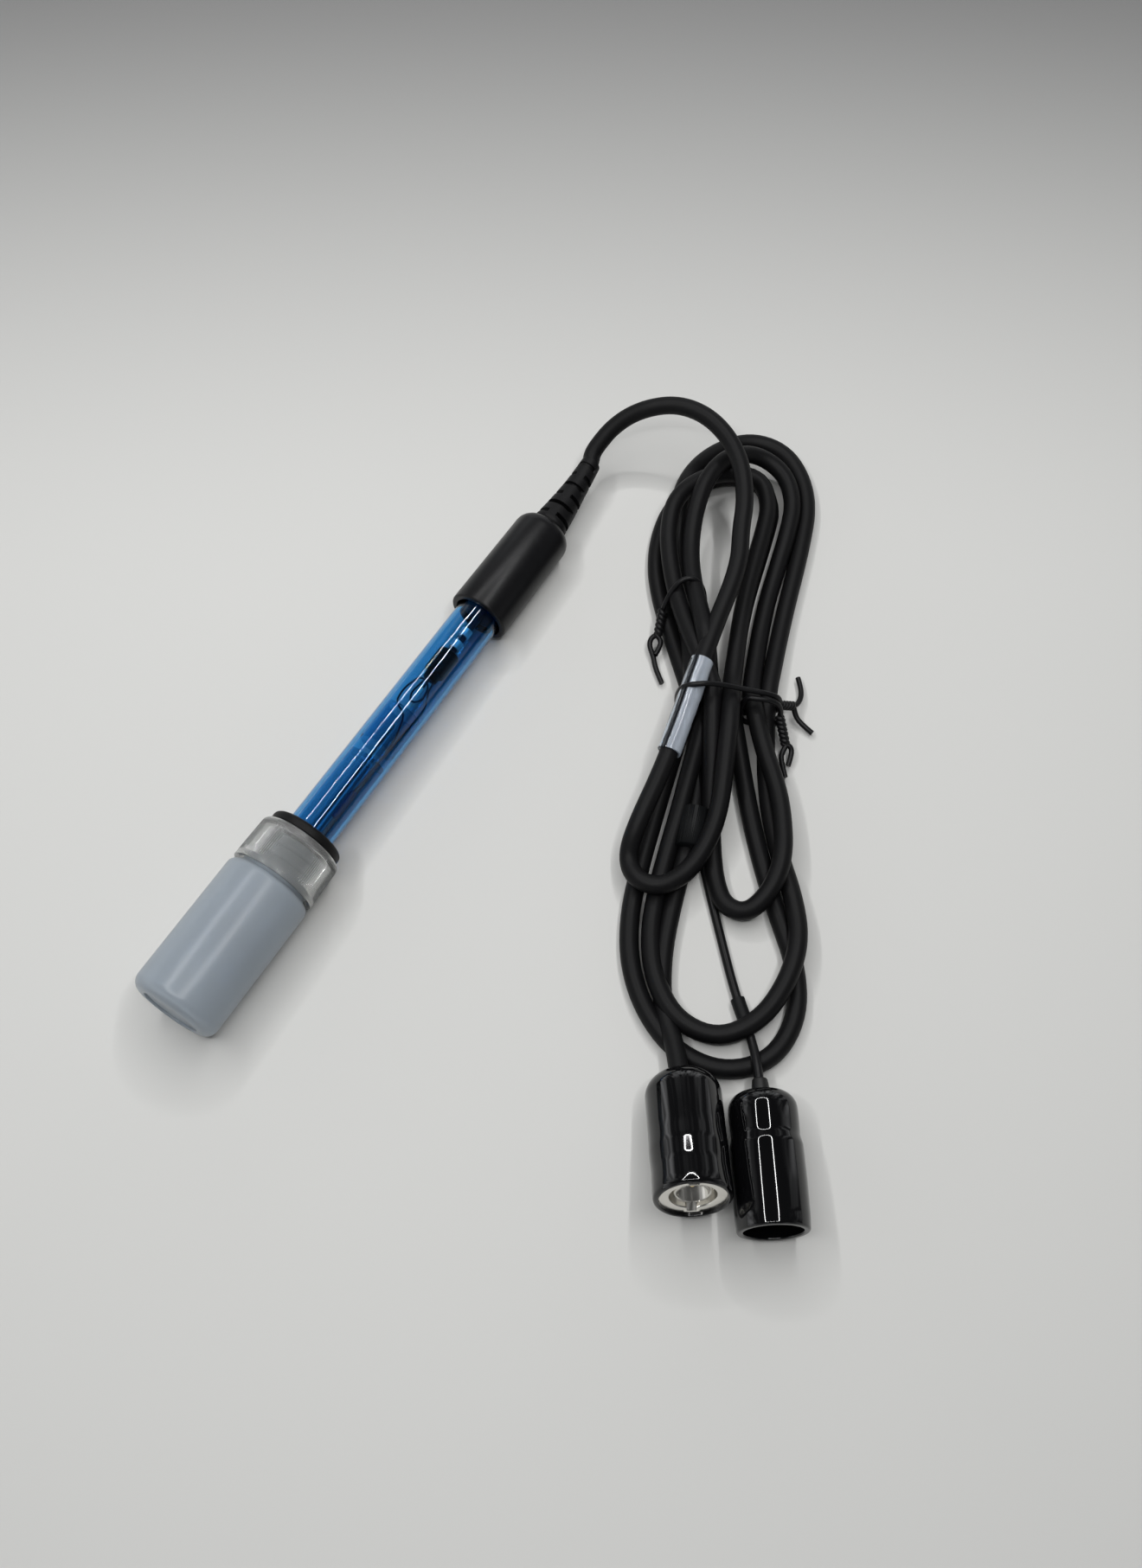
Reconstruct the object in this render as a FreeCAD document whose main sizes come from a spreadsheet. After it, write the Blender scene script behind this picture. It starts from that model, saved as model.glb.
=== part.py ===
import FreeCAD, Part
import math
import os
import Sketcher
from FreeCAD import Placement, Rotation, Vector

# Redox electrode with its storage bottle on, a tied hank of cable and two booted connectors.
# The electrode lies on the floor along +Y, its head towards +Y. All lengths are in millimetres.
# Stations run along the electrode's own axis, from 0 at the outside of the bottle's base.

doc = FreeCAD.newDocument("redox_electrode")
sheet = doc.addObject("Spreadsheet::Sheet", "size")

SIZES = {
    # Body tube and its guard
    "tube_od": 12.0, "tube_wall": 1.0, "tube_tip": 12.0, "tube_end": 132.0,
    "guard_slot_width": 4.2, "guard_slot_depth": 5.5, "guard_slots": 4,
    # Inner parts
    "seat_gap": 0.05, "plug_start": 20.0, "plug_length": 5.0, "stem_od": 3.0, "stem_top_od": 1.3,
    "stem_shoulder": 52.0, "stem_neck": 85.0, "stem_sealed": 94.4, "stem_point": 100.2,
    "stem_bore": 0.7, "wire_od": 0.5, "platinum_od": 2.2, "platinum_length": 3.0,
    "junction_od": 2.0, "junction_across": -3.1, "junction_out": 0.4,
    "reference_od": 1.2, "reference_across": 2.3, "reference_over": -1.2, "reference_end": 75.0,
    "sensor_od": 1.6, "sensor_across": 2.9, "sensor_over": 1.7, "sensor_start": 58.6, "sensor_end": 66.8,
    "lower_gel_end": 75.9, "upper_gel_start": 80.2, "upper_gel_end": 91.5, "gel_film": 0.75,
    "splice_od": 5.9, "splice_start": 105.0, "splice_end": 112.3, "splice_tail": 1.7, "splice_tail_od": 4.0,
    "inner_lead_od": 2.2, "crimp_od": 3.0, "crimp_length": 2.2, "crimp_step": 4.2, "crimp_first": 114.0,
    "potting_start": 126.0, "potting_length": 5.0,
    # Storage bottle and cap
    "bottle_od": 22.3, "bottle_wall": 1.0, "bottle_height": 37.3, "bottle_corner": 3.0,
    "bottle_shoulder": 1.8, "base_recess": 0.6, "base_rim": 3.9, "neck_step": 4.7, "neck_height": 10.2,
    "cap_gap": 0.7, "cap_under": 0.3, "cap_draft": 0.6, "cap_height": 11.8, "cap_wall": 1.3, "cap_top": 1.7,
    "cap_round": 1.2, "cap_hole": 15.4, "rib_count": 60, "rib_depth": 0.35, "rib_width": 0.55,
    "rib_start": 1.4, "rib_margin": 1.3,
    # Rubber seal
    "seal_od": 19.1, "seal_height": 2.5, "seal_round": 0.6, "seal_plug_gap": 0.15, "seal_grip": 0.03,
    # Head and strain relief
    "head_start": 125.3, "head_length": 33.3, "head_mouth_od": 16.2, "head_back_od": 15.5, "head_round": 3.2,
    "head_bore": 12.9, "head_lip": 2.6, "head_cavity": 10.6, "head_end_wall": 7.0, "head_lip_round": 0.5,
    "relief_length": 23.0, "relief_od": 9.8, "relief_mid_od": 6.6, "relief_end_od": 5.4, "relief_mid": 14.6,
    "relief_plug_od": 7.6, "relief_slot": 1.25, "relief_pitch": 7.2, "relief_slots": 3, "relief_spine": 2.4,
    "relief_first": 2.0,
    # Cable
    "cable_od": 4.7, "cable_gap": 0.05, "label_od": 5.9, "label_length": 19.0, "split_od": 8.0,
    # Bayonet connector and its boot
    "bnc_boot_od": 17.3, "bnc_boot_waist": 16.7, "bnc_boot_length": 30.3, "bnc_boot_round": 5.0,
    "bnc_boot_bore": 14.8, "bnc_boot_deep": 13.5, "bnc_inner_bore": 11.2, "bnc_boot_end": 5.4,
    "bnc_ring_inset": 0.8, "bnc_ring_length": 12.0,
    "bnc_ring_bore": 10.2, "bnc_flange": 2.0, "bnc_notch": 2.2, "bnc_notch_deep": 1.3, "bnc_notch_long": 6.0,
    "bnc_sleeve_od": 8.3, "bnc_sleeve_bore": 6.9, "bnc_inset": 1.6, "bnc_core_deep": 6.0, "bnc_pin_od": 1.4,
    "bnc_pin_out": 4.4, "turn_gap": 0.15,
    # Temperature connector and its boot
    "temp_boot_od": 16.4, "temp_boot_back_od": 15.6, "temp_boot_step": 12.3, "temp_boot_length": 30.8,
    "temp_boot_round": 4.0, "temp_boot_bore": 13.0, "temp_boot_deep": 16.0, "temp_inner_bore": 9.4,
    "temp_boot_end": 5.0, "temp_plug_length": 8.0, "temp_core_od": 5.6, "temp_pin_od": 3.2,
    "temp_pin_out": 5.0, "collar_od": 5.4, "collar_length": 5.5, "temp_lead_od": 2.2, "temp_sleeve_od": 3.4,
    # Twist ties
    "tie_od": 1.4, "twist_od": 2.4,
}
for row, (alias, number) in enumerate(SIZES.items(), start=1):
    sheet.set(f"A{row}", alias)
    sheet.set(f"B{row}", str(number))
    sheet.setAlias(f"B{row}", alias)
doc.recompute()


def size(alias):
    return float(sheet.get(alias))


# Places shared by several pieces, as formulas on the sheet's sizes
CAP_START = "size.bottle_height + size.cap_gap"
CAP_END = f"{CAP_START} + size.cap_height"
NECK_END = "size.bottle_height + size.neck_height"
SEAL_END = f"{CAP_END} + size.seal_plug_gap + size.seal_height"
NECK_R = "(size.bottle_od - size.neck_step) / 2"
CAP_R = "(size.bottle_od - size.cap_under) / 2"
CAP_TOP_R = "(size.bottle_od - size.cap_under - size.cap_draft) / 2"
TUBE_R = "size.tube_od / 2"
TUBE_BORE_R = "size.tube_od / 2 - size.tube_wall"
INNER_R = f"{TUBE_BORE_R} - size.seat_gap"
HEAD_END = "size.head_start + size.head_length"
RELIEF_END = f"{HEAD_END} + size.relief_length"
CABLE_R = "size.cable_od / 2"
PLUG_END = "size.plug_start + size.plug_length"

# The same places as numbers, for placements
bottle_r = size("bottle_od") / 2
head_r = size("head_back_od") / 2
rest_front = size("bottle_height") - size("bottle_shoulder")
rest_back = size("head_start") + size("head_length") - size("head_round")
relief_end = size("head_start") + size("head_length") + size("relief_length")

# The electrode rests on the bottle's shoulder and on the back of its head, so its axis tilts
TILT = math.atan((bottle_r - head_r) / (rest_back - rest_front))
AXIS_DIRECTION = Vector(0, math.cos(TILT), -math.sin(TILT))
AXIS_TURN = Rotation(Vector(1, 0, 0), -90 - math.degrees(TILT))
axis_start_height = bottle_r * math.cos(TILT) + rest_front * math.sin(TILT)
AXIS_START = Vector(0, -relief_end * math.cos(TILT) / 2, axis_start_height)


def on_axis(station=0.0, across=0.0, over=0.0):
    """Placement on the electrode's axis: across is towards +X, over is upwards."""
    return Placement(AXIS_START, AXIS_TURN).multiply(Placement(Vector(across, -over, station), Rotation()))


def station_point(station):
    return AXIS_START + AXIS_DIRECTION * station


def plane(body, role):
    return next(item for item in body.Origin.OriginFeatures if item.Role == role)


def new_body(name):
    body = doc.addObject("PartDesign::Body", name)
    body.Label = name
    return body


def sketch_on(body, role, name, offset=None):
    sketch = body.newObject("Sketcher::SketchObject", name)
    sketch.AttachmentSupport = (plane(body, role), [""])
    sketch.MapMode = "FlatFace"
    if offset:
        sketch.setExpression("AttachmentOffset.Base.z", offset)
    return sketch


def outline(sketch, corners):
    """A closed outline whose corners are held by formulas on the sheet's sizes."""
    first = sketch.GeometryCount
    count = len(corners)
    starts = []
    for i in range(count):
        angle = 2 * math.pi * i / count
        starts.append(Vector(10 * math.cos(angle), 10 * math.sin(angle), 0))
    for i in range(count):
        sketch.addGeometry(Part.LineSegment(starts[i], starts[(i + 1) % count]))
    for i in range(count):
        sketch.addConstraint(Sketcher.Constraint("Coincident", first + i, 2, first + (i + 1) % count, 1))
    for i, (across, along) in enumerate(corners):
        for kind, formula, guess in (("DistanceX", across, starts[i].x), ("DistanceY", along, starts[i].y)):
            held = sketch.addConstraint(Sketcher.Constraint(kind, -1, 1, first + i, 1, guess))
            sketch.setExpression(f"Constraints[{held}]", formula)


def rim(feature, corner):
    """Names of the round edges that a profile's corner sweeps."""
    names = []
    for i, edge in enumerate(feature.Shape.Edges, start=1):
        if isinstance(edge.Curve, Part.Circle):
            same_radius = abs(edge.Curve.Radius - corner.x) < 1e-4
            same_station = abs(edge.Curve.Center.z - corner.y) < 1e-4
            if same_radius and same_station:
                names.append(f"Edge{i}")
    return names


def turned(name, corners, rounds=(), place=None):
    """A body of revolution about its own Z. rounds holds pairs: a corner's number, a radius's formula."""
    body = new_body(name)
    profile = sketch_on(body, "XZ_Plane", name + "_profile")
    outline(profile, corners)
    turn = body.newObject("PartDesign::Revolution", name + "_turn")
    turn.Profile = profile
    turn.ReferenceAxis = (profile, ["V_Axis"])
    turn.Angle = 360
    body.Tip = turn
    doc.recompute()
    places = [Vector(line.StartPoint) for line in profile.Geometry]
    last = turn
    for corner, radius in rounds:
        fillet = body.newObject("PartDesign::Fillet", f"{name}_round_{corner}")
        fillet.Base = (last, rim(last, places[corner]))
        fillet.setExpression("Radius", radius)
        body.Tip = fillet
        doc.recompute()
        last = fillet
    body.Placement = place or on_axis()
    return body


def pocket(body, sketch, length=None, upward=False):
    """Cut along the sketch's normal: through everything on both sides, or to a length on one side."""
    cut = body.newObject("PartDesign::Pocket", sketch.Name + "_cut")
    cut.Profile = sketch
    if length:
        cut.setExpression("Length", length)
        cut.Reversed = upward
    else:
        cut.Type = "ThroughAll"
        cut.SideType = "Symmetric"
    before = body.Shape.Volume
    body.Tip = cut
    doc.recompute()
    if not cut.Shape.Volume < before:
        raise RuntimeError(f"{cut.Name} cuts nothing")
    return cut


def around(body, feature, count):
    pattern = body.newObject("PartDesign::PolarPattern", feature.Name + "_around")
    pattern.Originals = [feature]
    pattern.Axis = (plane(body, "Z_Axis"), [""])
    pattern.Angle = 360
    pattern.setExpression("Occurrences", count)
    body.Tip = pattern
    doc.recompute()
    return pattern


def along(body, feature, count, pitch):
    pattern = body.newObject("PartDesign::LinearPattern", feature.Name + "_along")
    pattern.Originals = [feature]
    pattern.Direction = (plane(body, "Z_Axis"), [""])
    pattern.setExpression("Length", f"({count} - 1) * {pitch}")
    pattern.setExpression("Occurrences", count)
    body.Tip = pattern
    doc.recompute()
    return pattern


def rod(name, radius, length, place):
    """A plain round rod from a station along its own Z."""
    item = doc.addObject("Part::Cylinder", name)
    item.Label = name
    item.setExpression("Radius", radius)
    item.setExpression("Height", length)
    item.Placement = place
    return item


def joined(name, shape, place=None):
    item = doc.addObject("Part::Feature", name)
    item.Label = name
    item.Shape = shape
    if place:
        item.Placement = place
    return item


# Storage bottle: a blown shell with a recessed base, a rounded shoulder and a neck inside the cap

storage_bottle = turned(
    "storage_bottle",
    [
        ("0", "size.base_recess"),
        ("size.bottle_od / 2 - size.base_rim", "size.base_recess"),
        ("size.bottle_od / 2 - size.base_rim", "0"),
        ("size.bottle_od / 2", "0"),
        ("size.bottle_od / 2", "size.bottle_height"),
        (NECK_R, "size.bottle_height"),
        (NECK_R, NECK_END),
        (f"{NECK_R} - size.bottle_wall", NECK_END),
        (f"{NECK_R} - size.bottle_wall", "size.bottle_height - size.bottle_wall"),
        ("size.bottle_od / 2 - size.bottle_wall", "size.bottle_height - size.bottle_wall"),
        ("size.bottle_od / 2 - size.bottle_wall", "size.base_recess + size.bottle_wall"),
        ("0", "size.base_recess + size.bottle_wall"),
    ],
    rounds=[
        (3, "size.bottle_corner"),
        (4, "size.bottle_shoulder"),
        (9, "size.bottle_shoulder - size.bottle_wall / 2"),
        (10, "size.bottle_corner - size.bottle_wall"),
    ],
)

# Screw cap: a drafted skirt with fine grip ribs and a wide hole for the seal

storage_cap = turned(
    "storage_cap",
    [
        (CAP_R, CAP_START),
        (CAP_TOP_R, CAP_END),
        ("size.cap_hole / 2", CAP_END),
        ("size.cap_hole / 2", f"{CAP_END} - size.cap_top"),
        (f"{CAP_R} - size.cap_wall", f"{CAP_END} - size.cap_top"),
        (f"{CAP_R} - size.cap_wall", CAP_START),
    ],
    rounds=[(1, "size.cap_round")],
)
groove = sketch_on(storage_cap, "XY_Plane", "rib_groove", f"{CAP_START} + size.rib_start")
outline(
    groove,
    [
        (f"{CAP_TOP_R} - size.rib_depth", "-size.rib_width / 2"),
        (f"{CAP_R} + 1", "-size.rib_width / 2"),
        (f"{CAP_R} + 1", "size.rib_width / 2"),
        (f"{CAP_TOP_R} - size.rib_depth", "size.rib_width / 2"),
    ],
)
groove_cut = pocket(
    storage_cap, groove, "size.cap_height - size.rib_start - size.rib_margin", upward=True
)
around(storage_cap, groove_cut, "size.rib_count")

# Rubber seal: a flange on the cap's top and a plug in the cap's hole, gripping the tube

turned(
    "seal_ring",
    [
        (f"{TUBE_R} + size.seal_grip", f"{NECK_END} + size.seal_plug_gap"),
        ("size.cap_hole / 2 - size.seal_plug_gap", f"{NECK_END} + size.seal_plug_gap"),
        ("size.cap_hole / 2 - size.seal_plug_gap", f"{CAP_END} + size.seal_plug_gap"),
        ("size.seal_od / 2", f"{CAP_END} + size.seal_plug_gap"),
        ("size.seal_od / 2", SEAL_END),
        (f"{TUBE_R} + size.seal_grip", SEAL_END),
    ],
    rounds=[(4, "size.seal_round")],
)

# Body tube: its lower end is notched into a guard round the sensing tip

body_tube = turned(
    "body_tube",
    [
        (TUBE_BORE_R, "size.tube_tip"),
        (TUBE_R, "size.tube_tip"),
        (TUBE_R, "size.tube_end"),
        (TUBE_BORE_R, "size.tube_end"),
    ],
)
notch = sketch_on(body_tube, "XY_Plane", "guard_notch", "size.tube_tip")
outline(
    notch,
    [
        (f"{TUBE_BORE_R} - 1", "-size.guard_slot_width / 2"),
        (f"{TUBE_R} + 1", "-size.guard_slot_width / 2"),
        (f"{TUBE_R} + 1", "size.guard_slot_width / 2"),
        (f"{TUBE_BORE_R} - 1", "size.guard_slot_width / 2"),
    ],
)
notch_cut = pocket(body_tube, notch, "size.guard_slot_depth", upward=True)
around(body_tube, notch_cut, "size.guard_slots")

# Tip: an epoxy plug that closes the tube and holds the glass stem and the ceramic junction

tip_seal = turned(
    "tip_seal",
    [
        ("size.stem_od / 2 + size.seat_gap", "size.plug_start"),
        (INNER_R, "size.plug_start"),
        (INNER_R, PLUG_END),
        ("size.stem_od / 2 + size.seat_gap", PLUG_END),
    ],
)
junction_hole = sketch_on(tip_seal, "XY_Plane", "junction_hole", "size.plug_start")
hole = junction_hole.addGeometry(Part.Circle(Vector(-3, 0, 0), Vector(0, 0, 1), 1))
junction_hole.addConstraint(Sketcher.Constraint("PointOnObject", hole, 3, -1))
held = junction_hole.addConstraint(Sketcher.Constraint("DistanceX", -1, 1, hole, 3, -3))
junction_hole.setExpression(f"Constraints[{held}]", "size.junction_across")
held = junction_hole.addConstraint(Sketcher.Constraint("Radius", hole, 1))
junction_hole.setExpression(f"Constraints[{held}]", "size.junction_od / 2 + size.seat_gap")
pocket(tip_seal, junction_hole, "size.plug_length", upward=True)
rod(
    "reference_junction", "size.junction_od / 2", "size.plug_length + size.junction_out",
    on_axis(size("plug_start") - size("junction_out"), size("junction_across")),
)

# Glass stem: drawn out to a point round the platinum wire

STEM_START = "size.plug_start - 1.6"
turned(
    "glass_stem",
    [
        ("size.stem_bore / 2", STEM_START),
        ("size.stem_od / 2", STEM_START),
        ("size.stem_od / 2", "size.stem_shoulder - 12"),
        ("size.stem_top_od / 2 + 0.25", "size.stem_shoulder + 12"),
        ("size.stem_top_od / 2", "size.stem_neck"),
        ("size.stem_top_od / 2", "size.stem_sealed"),
        ("size.stem_bore / 2 + 0.08", "size.stem_point"),
        ("size.stem_bore / 2", "size.stem_point"),
    ],
)
stem_start = size("plug_start") - 1.6
splice_tail_start = size("splice_start") - size("splice_tail")
stem_wire_long = f"size.splice_start - size.splice_tail - ({STEM_START})"
rod("stem_wire", "size.wire_od / 2", stem_wire_long, on_axis(stem_start))
turned(
    "platinum_tip",
    [
        ("0", f"{STEM_START} - size.platinum_length"),
        ("size.platinum_od / 2", f"{STEM_START} - size.platinum_length"),
        ("size.platinum_od / 2", STEM_START),
        ("0", STEM_START),
    ],
    rounds=[(1, "size.platinum_od / 2 - 0.2")],
)

# Reference element and temperature sensor, standing in the gel

plug_end = size("plug_start") + size("plug_length")
rod(
    "reference_element", "size.reference_od / 2", f"size.reference_end - ({PLUG_END})",
    on_axis(plug_end, size("reference_across"), size("reference_over")),
)
turned(
    "temperature_sensor",
    [
        ("0", "size.sensor_start"),
        ("size.sensor_od / 2", "size.sensor_start"),
        ("size.sensor_od / 2", "size.sensor_end"),
        ("0", "size.sensor_end"),
    ],
    rounds=[(1, "size.sensor_od / 2 - 0.1")],
    place=on_axis(0, size("sensor_across"), size("sensor_over")),
)


def tube_along(points, radius, corner=None):
    """A tube along straight runs joined by tangent arcs, each as large as its runs or corner allow."""
    edges = []
    radii = []
    start = points[0]
    for i in range(1, len(points) - 1):
        back = points[i - 1] - points[i]
        ahead = points[i + 1] - points[i]
        turn = math.pi - back.getAngle(ahead)
        reach = 0.45 * min(back.Length, ahead.Length)
        if corner:
            reach = min(reach, corner)
        arc_radius = reach / math.tan(turn / 2)
        radii.append(arc_radius)
        enter = points[i] + back.normalize() * reach
        leave = points[i] + ahead.normalize() * reach
        middle = points[i] + (back + ahead).normalize() * (arc_radius / math.cos(turn / 2) - arc_radius)
        edges.append(Part.LineSegment(start, enter).toShape())
        edges.append(Part.Arc(enter, middle, leave).toShape())
        start = leave
    edges.append(Part.LineSegment(start, points[-1]).toShape())
    path = Part.Wire(edges)
    section = Part.Wire([Part.Circle(points[0], points[1] - points[0], radius).toShape()])
    solid = path.makePipeShell([section], True, True)
    if solid.Volume < 0:
        solid.reverse()
    error = abs(solid.Volume / (math.pi * radius**2 * path.Length) - 1)
    if error > 0.01:
        raise RuntimeError(f"a tube has the wrong volume, by {error:.3f}")
    return solid, path.Length, radii


def route_tube(name, points, radius, place=None):
    solid, length, radii = tube_along(points, radius)
    print(f"{name}: length {length:.1f}, radii {' '.join(f'{r:.1f}' for r in radii)}")
    return joined(name, solid, place)


def inside(across, over, station):
    return Vector(across, -over, station)


# Wires inside the tube, bent by hand between the gel and the splice

WIRE_R = size("wire_od") / 2
reference_top = size("reference_end")
route_tube(
    "reference_wire",
    [
        inside(size("reference_across"), size("reference_over"), reference_top + 0.05),
        inside(2.5, -1.0, 84.0),
        inside(1.0, 1.6, 91.0),
        inside(-2.6, 2.2, 92.5),
        inside(-3.4, 1.6, 97.5),
        inside(-1.4, 2.0, 102.3),
        inside(1.9, 2.2, 100.6),
        inside(2.4, 1.4, 96.5),
        inside(0.4, 1.6, 94.4),
        inside(-1.6, 0.6, 97.4),
        inside(-1.3, -0.2, splice_tail_start - 2),
        inside(-1.2, -0.2, splice_tail_start - 0.05),
    ],
    WIRE_R,
    on_axis(),
)
route_tube(
    "temperature_wire",
    [
        inside(size("sensor_across"), size("sensor_over"), size("sensor_end") + 0.05),
        inside(3.2, 1.5, 75.0),
        inside(3.7, 0.9, 86.0),
        inside(3.6, -0.9, 96.0),
        inside(1.3, -0.8, splice_tail_start - 2.5),
        inside(1.2, -0.8, splice_tail_start - 0.05),
    ],
    WIRE_R,
    on_axis(),
)


# Gel fills: the electrolyte in two lengths, with holes round what stands in them

def gel(name, start, end, openings):
    fill = doc.addObject("Part::Cylinder", name + "_fill")
    fill.setExpression("Radius", INNER_R)
    fill.setExpression("Height", f"{end} - ({start})")
    fill.setExpression(".Placement.Base.z", start)
    tools = []
    for i, (radius, across, over) in enumerate(openings):
        tool = doc.addObject("Part::Cylinder", f"{name}_hole_{i}")
        tool.setExpression("Radius", radius)
        tool.setExpression("Height", f"{end} - ({start}) + 2")
        tool.setExpression(".Placement.Base.x", across)
        tool.setExpression(".Placement.Base.y", over)
        tool.setExpression(".Placement.Base.z", f"{start} - 1")
        tools.append(tool)
    holes = tools[0]
    if len(tools) > 1:
        holes = doc.addObject("Part::MultiFuse", name + "_holes")
        holes.Shapes = tools
    cut = doc.addObject("Part::Cut", name)
    cut.Label = name
    cut.Base = fill
    cut.Tool = holes
    cut.Placement = on_axis()
    return cut


gel(
    "gel_lower", f"{PLUG_END} + size.seat_gap", "size.lower_gel_end",
    [
        ("size.stem_od / 2 + size.seat_gap", "0", "0"),
        ("size.reference_od / 2 + size.seat_gap", "size.reference_across", "-size.reference_over"),
        ("size.sensor_od / 2 + size.seat_gap", "size.sensor_across", "-size.sensor_over"),
    ],
)
gel(
    "gel_upper", "size.upper_gel_start", "size.upper_gel_end",
    [(f"{TUBE_BORE_R} - size.gel_film", "0", "0")],
)

# Splice, inner lead and crimps, above the gel

turned(
    "lead_splice",
    [
        ("0", "size.splice_start - size.splice_tail"),
        ("size.splice_tail_od / 2", "size.splice_start - size.splice_tail"),
        ("size.splice_tail_od / 2", "size.splice_start"),
        ("size.splice_od / 2", "size.splice_start"),
        ("size.splice_od / 2", "size.splice_end"),
        ("0", "size.splice_end"),
    ],
    rounds=[(3, "0.6"), (4, "0.8")],
)
head_end = size("head_start") + size("head_length")
cable_start = head_end - size("head_end_wall") - 2
rod(
    "inner_lead", "size.inner_lead_od / 2",
    f"{HEAD_END} - size.head_end_wall - 2 - size.splice_end", on_axis(size("splice_end")),
)
crimp_shapes = []
for i in range(2):
    base = Vector(0, 0, size("crimp_first") + i * size("crimp_step"))
    outer = Part.makeCylinder(size("crimp_od") / 2, size("crimp_length"), base)
    inner = Part.makeCylinder(size("inner_lead_od") / 2, size("crimp_length"), base)
    crimp_shapes.append(outer.cut(inner))
joined("crimp_sleeves", Part.makeCompound(crimp_shapes), on_axis())
turned(
    "upper_potting",
    [
        ("size.inner_lead_od / 2 + size.seat_gap", "size.potting_start"),
        (INNER_R, "size.potting_start"),
        (INNER_R, "size.potting_start + size.potting_length"),
        ("size.inner_lead_od / 2 + size.seat_gap", "size.potting_start + size.potting_length"),
    ],
)

# Head: a drafted cap over the tube's end, with a lip, a seat, a wiring space and a socket for the relief

turned(
    "head_cap",
    [
        ("size.head_bore / 2", "size.head_start"),
        ("size.head_mouth_od / 2", "size.head_start"),
        ("size.head_back_od / 2", HEAD_END),
        ("size.relief_plug_od / 2 + size.seat_gap", HEAD_END),
        ("size.relief_plug_od / 2 + size.seat_gap", f"{HEAD_END} - size.head_end_wall"),
        ("size.head_cavity / 2", f"{HEAD_END} - size.head_end_wall"),
        ("size.head_cavity / 2", "size.tube_end + size.seat_gap"),
        (f"{TUBE_R} + size.seat_gap", "size.tube_end + size.seat_gap"),
        (f"{TUBE_R} + size.seat_gap", "size.head_start + size.head_lip"),
        ("size.head_bore / 2", "size.head_start + size.head_lip"),
    ],
    rounds=[(2, "size.head_round"), (1, "size.head_lip_round"), (0, "size.head_lip_round / 2")],
)

# Strain relief: a tapered sleeve with windows on alternate sides that leave two spines each

strain_relief = turned(
    "strain_relief",
    [
        (f"{CABLE_R} + size.cable_gap", f"{HEAD_END} - size.head_end_wall"),
        ("size.relief_plug_od / 2", f"{HEAD_END} - size.head_end_wall"),
        ("size.relief_plug_od / 2", HEAD_END),
        ("size.relief_od / 2", HEAD_END),
        ("size.relief_mid_od / 2", f"{HEAD_END} + size.relief_mid"),
        ("size.relief_end_od / 2", RELIEF_END),
        (f"{CABLE_R} + size.cable_gap", RELIEF_END),
    ],
)
for side, (role, shift) in enumerate((("XZ_Plane", "0"), ("YZ_Plane", "size.relief_pitch / 2"))):
    window = sketch_on(strain_relief, role, f"relief_window_{side}")
    low = f"{HEAD_END} + size.relief_first + {shift}"
    high = f"{low} + size.relief_slot"
    for sign in ("", "-"):
        outline(
            window,
            [
                (f"{sign}size.relief_spine / 2", low),
                (f"{sign}size.relief_od", low),
                (f"{sign}size.relief_od", high),
                (f"{sign}size.relief_spine / 2", high),
            ],
        )
    window_cut = pocket(strain_relief, window)
    along(strain_relief, window_cut, "size.relief_slots", "size.relief_pitch")

# The hank lies beside the head. Its own frame has its waist at the origin and its long way along Y.

HANK_TURN = 32.24
HANK = Placement(Vector(65.6, 51.5, 0), Rotation(Vector(0, 0, 1), HANK_TURN))
WAIST_LIFT = size("tie_od") + 0.05


def hank_point(across, along_hank, up):
    return HANK.multVec(Vector(across, along_hank, up))


# Lead from the head, over in an arch and down onto the hank
cable_lead_route = [station_point(cable_start), station_point(relief_end + 4.5)] + [
    hank_point(*point)
    for point in (
        (-27.5, 78.6, 10.5),
        (-18.5, 81.5, 16.5),
        (-9.0, 79.5, 20.5),
        (0.0, 73.0, 21.5),
        (5.5, 62.5, 19.5),
        (7.0, 48.5, 17.0),
        (2.8, 31.5, 15.4),
        (-5.2, 12.0, 14.1),
        (-17.0, -22.5, 14.0),
        (-25.0, -39.0, 10.6),
    )
]
route_tube("cable_lead", cable_lead_route, size("cable_od") / 2)

# Label sleeve on the straight run over the waist
label_a, label_b = cable_lead_route[-3], cable_lead_route[-2]
label_way = (label_b - label_a).normalize()
label_middle = (label_a + label_b) * 0.5
label_long = size("label_length")
label_base = label_middle - label_way * (label_long / 2)
label_bore_r = size("cable_od") / 2 + size("cable_gap")
label_outer = Part.makeCylinder(size("label_od") / 2, label_long, label_base, label_way)
label_inner = Part.makeCylinder(label_bore_r, label_long, label_base, label_way)
joined("label_sleeve", label_outer.cut(label_inner))


# Hank: one solid with the outer shape of the tied turns, two cables high and pinched at its waist

def oval(across, along_hank, half_width, half_length, lean, bottom, top):
    ellipse = Part.Ellipse(Vector(0, 0, 0), half_length, half_width)
    face = Part.Face(Part.Wire([ellipse.toShape()]))
    face.Placement = Placement(Vector(across, along_hank, bottom), Rotation(Vector(0, 0, 1), 90 + lean))
    return face.extrude(Vector(0, 0, top - bottom))


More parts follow.
